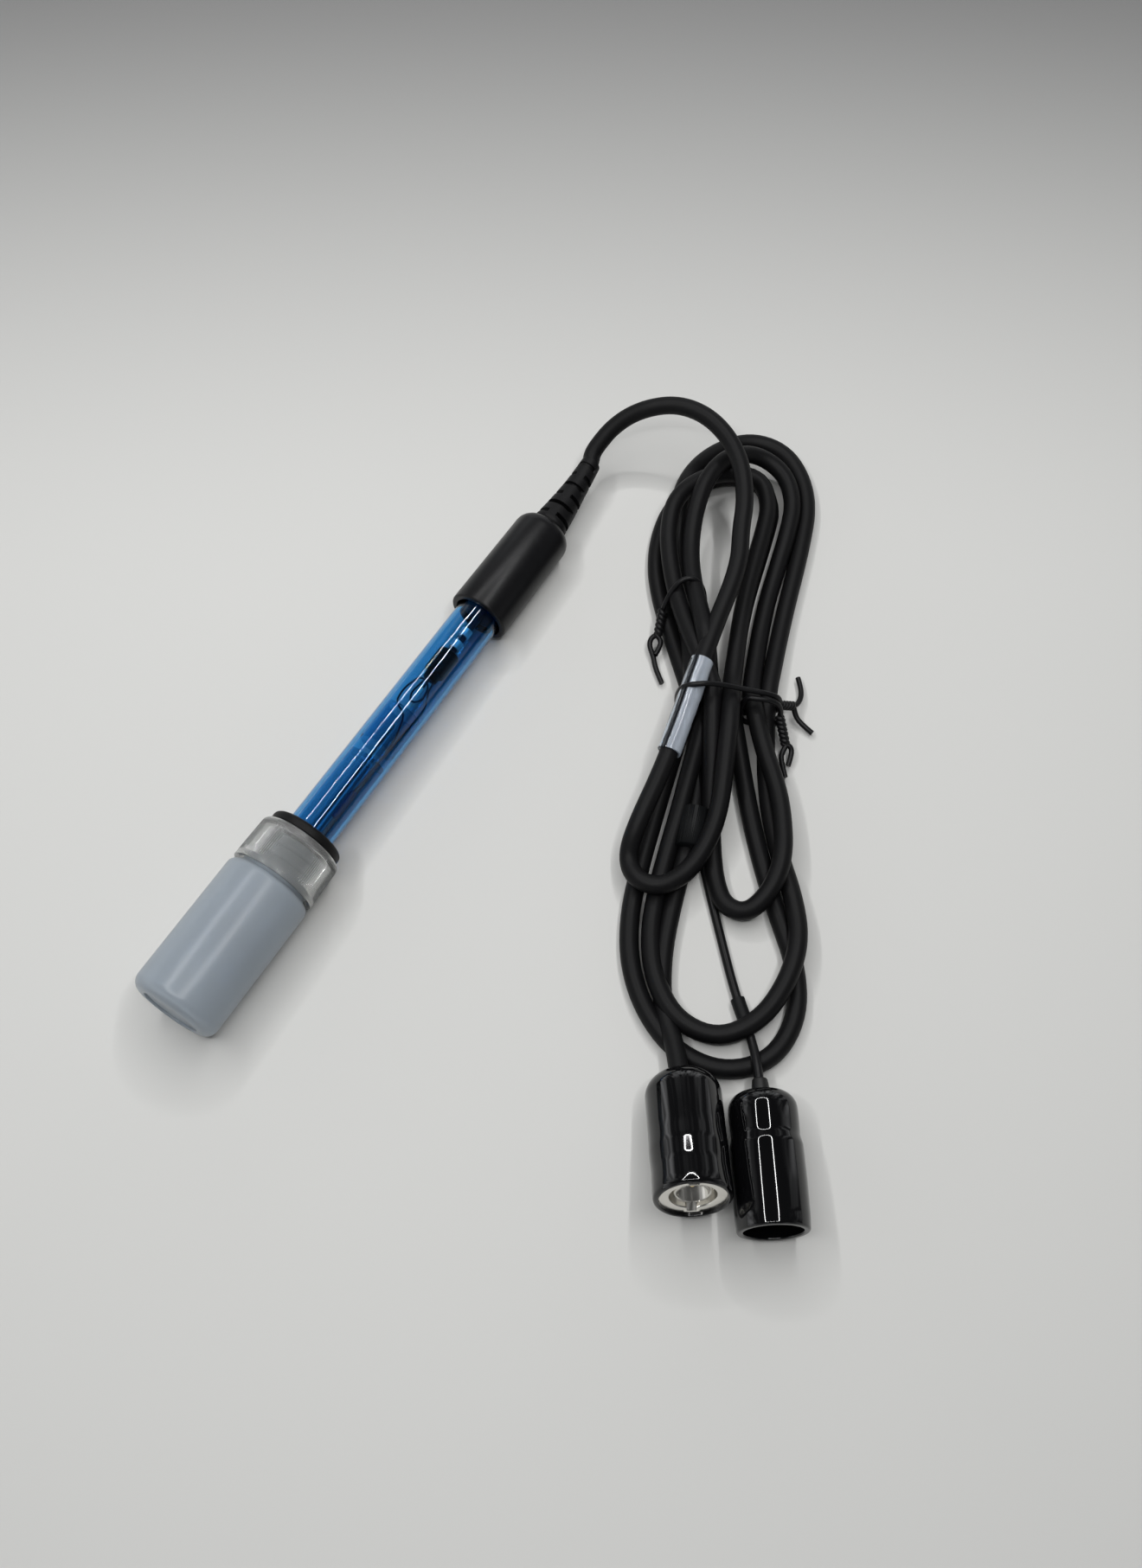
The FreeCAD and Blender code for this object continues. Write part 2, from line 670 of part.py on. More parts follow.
cable = size("cable_od")
hank_top = 2 * cable
waist_top = hank_top + WAIST_LIFT
waist_half = 2.5 * cable
waist_middle = -1.2
hank_shape = Part.makeBox(2 * waist_half, 50, hank_top, Vector(waist_middle - waist_half, -32, WAIST_LIFT))
hank_shape = hank_shape.multiFuse([
    oval(2.8, 44.5, 23.4, 38.0, -5, 0, hank_top),
    oval(-6.6, -59.0, 22.8, 37.4, -4, 0, hank_top),
    oval(-17.4, -36.0, 11.9, 18.4, -14, 0, hank_top),
])
UPPER_TIE = 34.0
hank_shape = hank_shape.cut(oval(-2.6, 47.0, 3.4, 20.0, -6, -1, hank_top + 2))
hank_shape = hank_shape.cut(oval(-6.3, -72.5, 11.5, 13.5, 0, -1, hank_top + 2))
hank_shape = hank_shape.cut(Part.makeBox(30, 2.4, WAIST_LIFT + 1, Vector(-28, UPPER_TIE - 1.2, -1)))
joined("cable_hank", hank_shape.removeSplitter(), HANK)


# Twist ties: a round wire about the bundle, its twisted stub and its two loose ends

def twist_tie(name, loop, twist, ends):
    """All places are in the hank's frame. loop starts and ends at the twist."""
    wire_r = size("tie_od") / 2
    pieces = [tube_along([Vector(*point) for point in loop], wire_r, TIE_CORNER)[0]]
    twist_from, twist_to = Vector(*twist[0]), Vector(*twist[1])
    twist_way = twist_to - twist_from
    pieces.append(Part.makeCylinder(size("twist_od") / 2, twist_way.Length, twist_from, twist_way))
    for end in ends:
        pieces.append(tube_along([twist_to - twist_way * 0.1] + [Vector(*point) for point in end], wire_r)[0])
    return joined(name, pieces[0].multiFuse(pieces[1:]).removeSplitter(), HANK)


TIE_CORNER = 0.9
tie_r = size("tie_od") / 2
tie_low = tie_r
tie_left = waist_middle - waist_half - tie_r - 0.1
tie_right = waist_middle + waist_half + tie_r + 0.1
tie_over = waist_top + tie_r + 0.1
lead_over = waist_top + size("label_od") + tie_r + 0.6
twist_tie(
    "tie_waist",
    [
        (tie_right + 0.4, 1.9, 7.5), (tie_right, 1.7, tie_over), (-4.2, 1.6, tie_over),
        (-5.4, 1.6, lead_over), (-12.2, 1.5, lead_over), (tie_left - 0.2, 1.5, tie_over),
        (tie_left, 1.4, tie_low), (tie_right, 1.2, tie_low), (tie_right + 0.4, 1.0, 6.5),
    ],
    ((11.2, 1.4, 7.4), (17.2, 0.6, 3.2)),
    [[(18.6, 2.6, 2.2), (18.4, 8.6, 1.6)], [(18.8, -2.6, 2.2), (20.4, -5.6, 1.4), (22.6, -8.4, 1.2)]],
)
twist_tie(
    "tie_waist_lower",
    [
        (tie_right + 0.4, -7.4, 6.5), (tie_right, -7.2, tie_over), (-6.8, -5.4, tie_over),
        (-7.8, -5.1, lead_over), (-14.6, -4.5, lead_over), (tie_left - 1.4, -4.4, tie_over),
        (tie_left, -4.4, tie_low), (tie_right, -8.0, tie_low), (tie_right + 0.4, -8.4, 5.4),
    ],
    ((12.0, -7.8, 6.6), (14.0, -13.2, 3.6)),
    [[(14.6, -16.4, 2.0), (13.8, -19.8, 1.6)], [(12.8, -16.8, 3.0), (12.2, -22.6, 1.4)]],
)
upper_left = -21.4
upper_right = -4.0
twist_tie(
    "tie_upper",
    [
        (upper_left - 0.3, UPPER_TIE - 0.9, 6.0), (upper_left, UPPER_TIE - 0.2, hank_top + tie_r + 0.1),
        (upper_right, UPPER_TIE, hank_top + tie_r + 0.1), (upper_right, UPPER_TIE, tie_low),
        (upper_left, UPPER_TIE, tie_low), (upper_left - 0.3, UPPER_TIE - 0.6, 4.8),
    ],
    ((-21.9, 33.6, 5.6), (-23.4, 27.6, 3.0)),
    [[(-23.6, 24.6, 1.6), (-21.2, 20.6, 1.2)], [(-22.4, 23.6, 3.4), (-19.4, 14.0, 1.2), (-18.6, 5.6, 1.2)]],
)


# Connectors: each stands on its own axis, 0 at the boot's back, pointing out of its mouth

def connector_frame(back, mouth, tilt):
    """back and mouth are places in the hank's frame; tilt raises the mouth."""
    start = hank_point(*back)
    heading = hank_point(*mouth) - start
    yaw = math.degrees(math.atan2(heading.y, heading.x))
    turn = Rotation(Vector(0, 0, 1), yaw).multiply(Rotation(Vector(0, 1, 0), 90 - tilt))
    return Placement(start, turn)


BNC_TILT = 18.0
BNC_R = size("bnc_boot_od") / 2
bnc_back_height = (
    BNC_R * math.cos(math.radians(BNC_TILT)) - size("bnc_boot_round") * math.sin(math.radians(BNC_TILT))
)
bnc_frame = connector_frame((-15.5, -98.5, bnc_back_height), (-14.5, -126.4, bnc_back_height), BNC_TILT)
BNC_LENGTH = "size.bnc_boot_length"
RING_FRONT = "size.bnc_boot_length - size.bnc_ring_inset"
RING_BACK = f"{RING_FRONT} - size.bnc_ring_length"
SLEEVE_FRONT = "size.bnc_boot_length - size.bnc_inset"

turned(
    "bnc_boot",
    [
        (f"{CABLE_R} + size.turn_gap", "0"),
        ("size.bnc_boot_od / 2", "0"),
        ("size.bnc_boot_waist / 2", "size.bnc_boot_length / 2"),
        ("size.bnc_boot_od / 2", "size.bnc_boot_length - 3"),
        ("size.bnc_boot_od / 2", BNC_LENGTH),
        ("size.bnc_boot_bore / 2", BNC_LENGTH),
        ("size.bnc_boot_bore / 2", "size.bnc_boot_length - size.bnc_boot_deep"),
        ("size.bnc_inner_bore / 2", "size.bnc_boot_length - size.bnc_boot_deep"),
        ("size.bnc_inner_bore / 2", "size.bnc_boot_end"),
        (f"{CABLE_R} + size.turn_gap", "size.bnc_boot_end"),
    ],
    rounds=[(1, "size.bnc_boot_round"), (4, "0.5")],
    place=bnc_frame,
)
ring = turned(
    "bnc_coupling_ring",
    [
        ("size.bnc_ring_bore / 2", RING_FRONT),
        ("size.bnc_boot_bore / 2 - size.seat_gap", RING_FRONT),
        ("size.bnc_boot_bore / 2 - size.seat_gap", RING_BACK),
        ("size.bnc_sleeve_od / 2 + size.turn_gap", RING_BACK),
        ("size.bnc_sleeve_od / 2 + size.turn_gap", f"{RING_BACK} + size.bnc_flange"),
        ("size.bnc_ring_bore / 2", f"{RING_BACK} + size.bnc_flange"),
    ],
    rounds=[(0, "0.4")],
    place=bnc_frame,
)
bayonet = sketch_on(ring, "XY_Plane", "bayonet_notch", f"{RING_FRONT}")
outline(
    bayonet,
    [
        ("size.bnc_ring_bore / 2 - 1", "-size.bnc_notch / 2"),
        ("size.bnc_ring_bore / 2 + size.bnc_notch_deep", "-size.bnc_notch / 2"),
        ("size.bnc_ring_bore / 2 + size.bnc_notch_deep", "size.bnc_notch / 2"),
        ("size.bnc_ring_bore / 2 - 1", "size.bnc_notch / 2"),
    ],
)
around(ring, pocket(ring, bayonet, "size.bnc_notch_long"), "2")
turned(
    "bnc_body",
    [
        ("size.bnc_sleeve_bore / 2", SLEEVE_FRONT),
        ("size.bnc_sleeve_od / 2", SLEEVE_FRONT),
        ("size.bnc_sleeve_od / 2", f"{RING_BACK} - size.turn_gap"),
        ("size.bnc_inner_bore / 2 - size.turn_gap", f"{RING_BACK} - size.turn_gap"),
        ("size.bnc_inner_bore / 2 - size.turn_gap", f"{RING_BACK} - 3"),
        (f"{CABLE_R} + 1", f"{RING_BACK} - 3"),
        (f"{CABLE_R} + 1", "size.bnc_boot_end + 1"),
        (CABLE_R, "size.bnc_boot_end + 1"),
        (CABLE_R, f"{SLEEVE_FRONT} - size.bnc_core_deep - 3"),
        ("size.bnc_sleeve_bore / 2", f"{SLEEVE_FRONT} - size.bnc_core_deep - 3"),
    ],
    place=bnc_frame,
)
turned(
    "bnc_insulator",
    [
        ("size.bnc_pin_od / 2", f"{SLEEVE_FRONT} - size.bnc_core_deep - 3"),
        ("size.bnc_sleeve_bore / 2", f"{SLEEVE_FRONT} - size.bnc_core_deep - 3"),
        ("size.bnc_sleeve_bore / 2", f"{SLEEVE_FRONT} - size.bnc_core_deep"),
        ("size.bnc_pin_od / 2", f"{SLEEVE_FRONT} - size.bnc_core_deep"),
    ],
    place=bnc_frame,
)
bnc_core_start = size("bnc_boot_length") - size("bnc_inset") - size("bnc_core_deep") - 3
turned(
    "bnc_pin",
    [
        ("0", f"{SLEEVE_FRONT} - size.bnc_core_deep - 3"),
        ("size.bnc_pin_od / 2", f"{SLEEVE_FRONT} - size.bnc_core_deep - 3"),
        ("size.bnc_pin_od / 2", f"{SLEEVE_FRONT} - size.bnc_core_deep + size.bnc_pin_out"),
        ("0", f"{SLEEVE_FRONT} - size.bnc_core_deep + size.bnc_pin_out"),
    ],
    rounds=[(2, "size.bnc_pin_od / 2 - 0.2")],
    place=bnc_frame,
)

TEMP_TILT = 6.0
TEMP_BACK_R = size("temp_boot_back_od") / 2
temp_lean = math.radians(TEMP_TILT)
temp_back_height = TEMP_BACK_R * math.cos(temp_lean) - size("temp_boot_round") * math.sin(temp_lean)
temp_frame = connector_frame((2.2, -102.6, temp_back_height), (2.9, -132.4, temp_back_height), TEMP_TILT)
TEMP_LENGTH = "size.temp_boot_length"
TEMP_PLUG_FRONT = "size.temp_boot_length - size.temp_boot_deep"
turned(
    "temperature_boot",
    [
        ("size.collar_od / 2 + size.seat_gap", "0"),
        ("size.temp_boot_back_od / 2", "0"),
        ("size.temp_boot_back_od / 2", "size.temp_boot_step"),
        ("size.temp_boot_od / 2", "size.temp_boot_step + 2"),
        ("size.temp_boot_od / 2", TEMP_LENGTH),
        ("size.temp_boot_bore / 2", TEMP_LENGTH),
        ("size.temp_boot_bore / 2", TEMP_PLUG_FRONT),
        ("size.temp_inner_bore / 2", TEMP_PLUG_FRONT),
        ("size.temp_inner_bore / 2", "size.temp_boot_end"),
        ("size.collar_od / 2 + size.seat_gap", "size.temp_boot_end"),
    ],
    rounds=[(1, "size.temp_boot_round"), (4, "0.5")],
    place=temp_frame,
)
turned(
    "temperature_plug",
    [
        ("size.temp_core_od / 2 + size.seat_gap", TEMP_PLUG_FRONT),
        ("size.temp_inner_bore / 2 - size.seat_gap", TEMP_PLUG_FRONT),
        ("size.temp_inner_bore / 2 - size.seat_gap", f"{TEMP_PLUG_FRONT} - size.temp_plug_length"),
        ("size.temp_core_od / 2 + size.seat_gap", f"{TEMP_PLUG_FRONT} - size.temp_plug_length"),
    ],
    place=temp_frame,
)
turned(
    "temperature_insulator",
    [
        ("size.temp_pin_od / 2", f"{TEMP_PLUG_FRONT} - size.temp_plug_length"),
        ("size.temp_core_od / 2", f"{TEMP_PLUG_FRONT} - size.temp_plug_length"),
        ("size.temp_core_od / 2", f"{TEMP_PLUG_FRONT} - 0.5"),
        ("size.temp_pin_od / 2", f"{TEMP_PLUG_FRONT} - 0.5"),
    ],
    place=temp_frame,
)
turned(
    "temperature_pin",
    [
        ("0", f"{TEMP_PLUG_FRONT} - size.temp_plug_length"),
        ("size.temp_pin_od / 2", f"{TEMP_PLUG_FRONT} - size.temp_plug_length"),
        ("size.temp_pin_od / 2", f"{TEMP_PLUG_FRONT} + size.temp_pin_out"),
        ("0", f"{TEMP_PLUG_FRONT} + size.temp_pin_out"),
    ],
    rounds=[(2, "size.temp_pin_od / 2 - 0.3")],
    place=temp_frame,
)
turned(
    "temperature_collar",
    [
        ("size.temp_lead_od / 2 + size.seat_gap", "size.temp_boot_end - size.collar_length"),
        ("size.collar_od / 2", "size.temp_boot_end - size.collar_length"),
        ("size.collar_od / 2", "size.temp_boot_end"),
        ("size.temp_lead_od / 2 + size.seat_gap", "size.temp_boot_end"),
    ],
    place=temp_frame,
)

# Leads from the split to the two boots
split_start = Vector(-12.0, -32.0, cable / 2)
split_end = Vector(-13.8, -42.0, cable / 2)
bnc_lead_end = bnc_core_start
bnc_lead_route = [
    hank_point(*split_end),
    hank_point(-16.4, -55.0, 2.4),
    hank_point(-18.0, -69.0, 2.4),
    hank_point(-17.8, -82.5, 2.6),
    bnc_frame.multVec(Vector(0, 0, -5.5)),
    bnc_frame.multVec(Vector(0, 0, bnc_lead_end)),
]
route_tube("bnc_lead", bnc_lead_route, cable / 2)
thin_r = size("temp_lead_od") / 2
temp_core_start = size("temp_boot_length") - size("temp_boot_deep") - size("temp_plug_length")
temperature_lead_route = [
    hank_point(-9.7, -42.7, 1.9),
    hank_point(-7.0, -52.0, 1.3),
    hank_point(-4.4, -65.0, 1.2),
    hank_point(-1.9, -77.5, 1.3),
    hank_point(1.2, -89.0, 3.6),
    temp_frame.multVec(Vector(0, 0, -4.5)),
    temp_frame.multVec(Vector(0, 0, temp_core_start)),
]
route_tube("temperature_lead", temperature_lead_route, thin_r)
sleeve_a, sleeve_b = temperature_lead_route[3], temperature_lead_route[4]
sleeve_way = (sleeve_b - sleeve_a).normalize()
sleeve_long = (sleeve_b - sleeve_a).Length * 0.7
sleeve_base = (sleeve_a + sleeve_b) * 0.5 - sleeve_way * (sleeve_long / 2)
sleeve_outer = Part.makeCylinder(size("temp_sleeve_od") / 2, sleeve_long, sleeve_base, sleeve_way)
sleeve_inner = Part.makeCylinder(thin_r + 0.15, sleeve_long, sleeve_base, sleeve_way)
joined("temperature_sleeve", sleeve_outer.cut(sleeve_inner))
split_way = split_end - split_start
split_r = size("split_od") / 2
split_side = Vector(2.2, 0, split_r - cable / 2)
split_long = split_way.Length - 0.1
split_body = Part.makeCylinder(split_r, split_long, split_start + split_side, split_way)
joined("split_sleeve", split_body, HANK)

doc.recompute()

# Every piece is checked, then written under its own name

NODES = [
    item for item in doc.Objects
    if item.TypeId == "PartDesign::Body"
    or item.TypeId == "Part::Feature"
    or (item.TypeId in ("Part::Cylinder", "Part::Cut") and not item.InList)
]
for item in doc.Objects:
    if "Invalid" in item.State or "Error" in item.State:
        raise RuntimeError(f"{item.Name} failed: {item.State}")
os.makedirs("parts", exist_ok=True)
for item in NODES:
    shape = item.Shape
    if shape.isNull() or not shape.isValid() or not shape.Solids:
        raise RuntimeError(f"{item.Label} has no sound solid")
    shape.exportStep(f"parts/{item.Label}.step")
    box = shape.BoundBox
    print(
        f"{item.Label}: solids {len(shape.Solids)}, volume {shape.Volume:.2f}, "
        f"y {box.YMin:.2f} to {box.YMax:.2f}, z {box.ZMin:.2f} to {box.ZMax:.2f}"
    )
print(f"{len(NODES)} nodes, tilt {math.degrees(TILT):.3f} degrees")
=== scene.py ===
# %% [markdown]
# # A redox electrode, put away with its bottle on and its cable in a hank
#
# The real object is a blue plastic tube with a glass stem inside. A bottle of storage liquid is
# screwed over its tip, a black head closes its other end, and its cable is folded into a hank with
# twist ties. The cable ends in two connectors under shiny rubber boots.
#
# A measured model already exists, with every piece at its real size and place. This lesson loads it
# and gives it its looks: smoother forms where they show, the cable as one real line, and a finish
# for every surface. Nothing measured is moved, so each new piece is built where the old one lies.

# %% Load the measured model
import math

import bmesh
import bpy
from mathutils import Matrix, Vector


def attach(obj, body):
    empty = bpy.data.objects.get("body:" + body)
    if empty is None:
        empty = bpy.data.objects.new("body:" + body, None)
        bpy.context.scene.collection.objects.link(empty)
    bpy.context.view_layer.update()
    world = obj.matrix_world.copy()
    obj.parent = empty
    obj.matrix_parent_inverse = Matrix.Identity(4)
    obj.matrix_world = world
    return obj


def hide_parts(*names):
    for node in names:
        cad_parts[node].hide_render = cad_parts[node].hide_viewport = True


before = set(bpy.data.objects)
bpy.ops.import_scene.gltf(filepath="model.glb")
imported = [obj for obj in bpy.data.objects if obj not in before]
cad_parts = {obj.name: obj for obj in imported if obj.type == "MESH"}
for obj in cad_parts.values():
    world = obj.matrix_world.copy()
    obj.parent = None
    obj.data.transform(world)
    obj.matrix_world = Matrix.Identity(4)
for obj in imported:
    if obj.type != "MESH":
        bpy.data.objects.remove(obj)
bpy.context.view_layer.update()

MM = 0.001

# %% [markdown]
# ## Three frames to build in
#
# Pieces are easiest to model about their own axis, in millimetres, and to set down at the end. Three
# matrices do that here. The electrode lies on its bottle and on the back of its head, so its axis
# dips a little. The hank has its waist at zero and its long way along Y. Each connector starts at the
# back of its boot and leans on the floor, with its mouth a little raised.

# %% The electrode's axis, from the places that it rests on
BOTTLE_R = 11.15
HEAD_BACK_R = 7.75
REST_FRONT = 35.5
REST_BACK = 155.4
RELIEF_END = 181.6
TILT = math.atan((BOTTLE_R - HEAD_BACK_R) / (REST_BACK - REST_FRONT))
AXIS_HEIGHT = BOTTLE_R * math.cos(TILT) + REST_FRONT * math.sin(TILT)
AXIS = (
    Matrix.Scale(MM, 4)
    @ Matrix.Translation((0, -RELIEF_END * math.cos(TILT) / 2, AXIS_HEIGHT))
    @ Matrix.Rotation(-math.pi / 2 - TILT, 4, "X")
)
HANK_PLACE = (65.6, 51.5, 0)
HANK_TURN = math.radians(32.24)
HANK = Matrix.Scale(MM, 4) @ Matrix.Translation(HANK_PLACE) @ Matrix.Rotation(HANK_TURN, 4, "Z")


def connector_frame(back, mouth, tilt):
    """back and mouth are places in the hank's frame, in mm; tilt raises the mouth."""
    start = HANK @ Vector(back)
    heading = (HANK @ Vector(mouth)) - start
    yaw = math.atan2(heading.y, heading.x)
    turn = Matrix.Rotation(yaw, 4, "Z") @ Matrix.Rotation(math.pi / 2 - tilt, 4, "Y")
    return Matrix.Translation(start) @ turn @ Matrix.Scale(MM, 4)


def back_height(radius, rounding, tilt):
    return radius * math.cos(tilt) - rounding * math.sin(tilt)


BNC_TILT = math.radians(18)
BNC_BACK = back_height(8.65, 5.0, BNC_TILT)
BNC = connector_frame((-15.5, -98.5, BNC_BACK), (-14.5, -126.4, BNC_BACK), BNC_TILT)
TEMP_TILT = math.radians(6)
TEMP_BACK = back_height(7.8, 4.0, TEMP_TILT)
TEMP = connector_frame((2.2, -102.6, TEMP_BACK), (2.9, -132.4, TEMP_BACK), TEMP_TILT)
print("the axis dips", round(math.degrees(TILT), 2), "degrees")

# %% [markdown]
# ## The camera
#
# The photograph looks steeply down from near the foot of the picture, so its lines draw together
# towards the top. A camera that stands at the same place, with the same angle of view, shows that
# by itself. The sensor is fitted to the picture's long side, because the picture is upright.

# %% Camera
camera_data = bpy.data.cameras.new("Camera")
camera_data.sensor_fit = "VERTICAL"
camera_data.sensor_width = 36.0
camera_data.sensor_height = 36.0
camera_data.lens = 33.76
camera_data.clip_start = 0.01
camera = bpy.data.objects.new("Camera", camera_data)
bpy.context.scene.collection.objects.link(camera)
camera.location = (0.1254, -0.1192, 0.3369)
camera.rotation_euler = (math.radians(90 - 65.51), 0, HANK_TURN)
bpy.context.scene.camera = camera
print("camera", [round(x, 4) for x in camera.location])

# %% [markdown]
# ## Helpers for materials
#
# Every finish here starts from the Principled shader. Numbers that are the same all over a surface
# are typed straight into its sockets. What varies, such as a slight mottle in the colour or a grain
# that breaks up a highlight, comes from a noise texture on Object coordinates. Those are in metres
# on these pieces, so a scale of 1000 makes spots of about a millimetre.

# %% Two short node helpers
def ranged(tree, value, source=(0.0, 1.0), target=(0.0, 1.0), soft=False):
    """Take a value from one range to another, with soft ends or without."""
    node = tree.nodes.new("ShaderNodeMapRange")
    if soft:
        node.interpolation_type = "SMOOTHSTEP"
    for socket, number in zip(("From Min", "From Max", "To Min", "To Max"), (*source, *target)):
        node.inputs[socket].default_value = number
    tree.links.new(value, node.inputs["Value"])
    return node.outputs["Result"]


def seen_from(tree, location, rotation):
    """Object coordinates as another frame has them, split into X, Y and Z."""
    place = tree.nodes.new("ShaderNodeTexCoord")
    turn = tree.nodes.new("ShaderNodeMapping")
    turn.vector_type = "TEXTURE"
    turn.inputs["Location"].default_value = location
    turn.inputs["Rotation"].default_value = rotation
    tree.links.new(place.outputs["Object"], turn.inputs["Vector"])
    parts = tree.nodes.new("ShaderNodeSeparateXYZ")
    tree.links.new(turn.outputs["Vector"], parts.inputs["Vector"])
    return parts.outputs


# %% A finish with a little mottle and grain
def finish(name, colour, roughness, mottle=0.06, spots=300.0, grain=0.0, grain_scale=2500.0,
           rough_change=0.05, **sockets):
    """A Principled material. mottle changes the colour, rough_change the gloss and grain the bump."""
    material = bpy.data.materials.new(name)
    material.use_nodes = True
    nodes, links = material.node_tree.nodes, material.node_tree.links
    shader = nodes["Principled BSDF"]
    place = nodes.new("ShaderNodeTexCoord")
    noise = nodes.new("ShaderNodeTexNoise")
    noise.inputs["Scale"].default_value = spots
    noise.inputs["Detail"].default_value = 4.0
    links.new(place.outputs["Object"], noise.inputs["Vector"])
    ramp = nodes.new("ShaderNodeValToRGB")
    ramp.color_ramp.elements[0].position = 0.3
    ramp.color_ramp.elements[1].position = 0.7
    for end, change in ((0, 1.0 - mottle), (1, 1.0 + mottle)):
        shade = [min(1.0, c * change) for c in colour]
        ramp.color_ramp.elements[end].color = (*shade, 1.0)
    links.new(noise.outputs["Fac"], ramp.inputs["Fac"])
    links.new(ramp.outputs["Color"], shader.inputs["Base Color"])
    gloss = (max(0.0, roughness - rough_change), min(1.0, roughness + rough_change))
    links.new(ranged(material.node_tree, noise.outputs["Fac"], target=gloss), shader.inputs["Roughness"])
    if grain:
        fine = nodes.new("ShaderNodeTexNoise")
        fine.inputs["Scale"].default_value = grain_scale
        fine.inputs["Detail"].default_value = 3.0
        links.new(place.outputs["Object"], fine.inputs["Vector"])
        bump = nodes.new("ShaderNodeBump")
        bump.inputs["Strength"].default_value = grain
        bump.inputs["Distance"].default_value = 0.0002
        links.new(fine.outputs["Fac"], bump.inputs["Height"])
        links.new(bump.outputs["Normal"], shader.inputs["Normal"])
    for socket, value in sockets.items():
        shader.inputs[socket.replace("_", " ")].default_value = value
    return material


# %% [markdown]
# ## The finishes
#
# Four blacks lie side by side in the photograph, and they are told apart by their gloss alone: the
# cable's jacket is dull, the ties are a little smoother, the head is satin and the boots are like
# wet paint. A black rubber throws back less than a hundredth of the light, so their colours are very
# low numbers. The clear plastics pass light: the tube is tinted blue, the cap is a little cloudy, and
# the bottle is milky, so light goes in and comes out soft.

# %% Finishes
JACKET = finish("Cable jacket", (0.0038, 0.0038, 0.0042), 0.50, grain=0.12, grain_scale=1800,
                Specular_IOR_Level=0.15)
THIN_JACKET = finish("Thin lead jacket", (0.004, 0.004, 0.0045), 0.36, Specular_IOR_Level=0.2)
TIE = finish("Twist tie", (0.004, 0.004, 0.0045), 0.40, grain=0.1, Specular_IOR_Level=0.22)
BOOT = finish("Boot rubber", (0.0022, 0.0022, 0.0026), 0.05, spots=90, rough_change=0.02)
HEAD = finish("Head plastic", (0.0048, 0.0048, 0.0055), 0.33, grain=0.06, grain_scale=1500,
              Specular_IOR_Level=0.2)
RELIEF = finish("Relief rubber", (0.004, 0.004, 0.0045), 0.5, grain=0.2, Specular_IOR_Level=0.16)
RUBBER = finish("Seal rubber", (0.0035, 0.0035, 0.0035), 0.5, grain=0.15, Specular_IOR_Level=0.16)
SHRINK = finish("Splice shrink", (0.004, 0.0045, 0.005), 0.5, Specular_IOR_Level=0.16)
LEAD = finish("Inner lead", (0.012, 0.02, 0.035), 0.4)
TIN = finish("Tinned crimp", (0.80, 0.81, 0.82), 0.45, Metallic=0.5)
PLATINUM = finish("Platinum", (0.80, 0.79, 0.77), 0.18, Metallic=1.0)
DARK_WIRE = finish("Tarnished wire", (0.03, 0.035, 0.05), 0.4, Metallic=0.5)
NICKEL = finish("Nickel plate", (0.78, 0.76, 0.71), 0.22, mottle=0.04, grain=0.05, Metallic=1.0)
GOLD = finish("Contact pin", (0.85, 0.70, 0.42), 0.2, Metallic=1.0)
INSULATOR = finish("White insulator", (0.74, 0.75, 0.74), 0.4)
CERAMIC = finish("Ceramic pin", (0.75, 0.73, 0.68), 0.7, grain=0.2)
ROD = finish("Reference rod", (0.14, 0.13, 0.11), 0.5)
BEAD = finish("Sensor bead", (0.02, 0.05, 0.13), 0.35)
EPOXY = finish("Epoxy", (0.22, 0.36, 0.52), 0.2, Transmission_Weight=0.93, IOR=1.15)
PLUG_BLACK = finish("Plug plastic", (0.005, 0.005, 0.005), 0.45, Specular_IOR_Level=0.35)
BOTTLE = finish("Milky bottle", (0.50, 0.56, 0.62), 0.30, mottle=0.02, spots=60, Transmission_Weight=0.6,
                IOR=1.38, Specular_IOR_Level=0.45)
CAP_CLEAR = finish("Clear cap", (0.68, 0.69, 0.68), 0.12, mottle=0.02, Transmission_Weight=0.88, IOR=1.45)
TUBE_BLUE = finish("Blue tube", (0.40, 0.70, 0.93), 0.02, mottle=0.0, rough_change=0.01,
                   Transmission_Weight=1.0, IOR=1.47)
depth_tint = TUBE_BLUE.node_tree.nodes.new("ShaderNodeVolumeAbsorption")
depth_tint.inputs["Color"].default_value = (0.02, 0.63, 0.86, 1)
depth_tint.inputs["Density"].default_value = 700.0
TUBE_BLUE.node_tree.links.new(
    depth_tint.outputs["Volume"], TUBE_BLUE.node_tree.nodes["Material Output"].inputs["Volume"]
)
GLASS = finish("Stem glass", (0.97, 0.99, 1.0), 0.02, mottle=0.0, rough_change=0.0, IOR=1.5)
# The stem is clear up to where it was drawn out, and hazy beyond. Both stations are in metres.
DRAWN_FROM, DRAWN_TO = 0.086, 0.095
nodes, links = GLASS.node_tree.nodes, GLASS.node_tree.links
station = seen_from(GLASS.node_tree, AXIS.to_translation(), (-math.pi / 2 - TILT, 0, 0))["Z"]
haze = ranged(GLASS.node_tree, station, (DRAWN_FROM, DRAWN_TO), (0.97, 0.25))
links.new(haze, nodes["Principled BSDF"].inputs["Transmission Weight"])
GEL = finish("Gel", (0.55, 0.74, 0.86), 0.03, mottle=0.04, spots=150, Transmission_Weight=1.0, IOR=1.05)
SLEEVE = finish("Clear sleeve", (0.62, 0.68, 0.76), 0.10, mottle=0.05, IOR=1.4)
print(len(bpy.data.materials), "materials")

# %% [markdown]
# ## Helpers for meshes
#
# Most of this object is turned: a profile spun about an axis. The profile is a list of corners, each
# a radius and a station along the axis, with a rounding where the real edge is soft. An arc takes the
# place of each rounded corner, so the edge catches light as a moulded edge does.

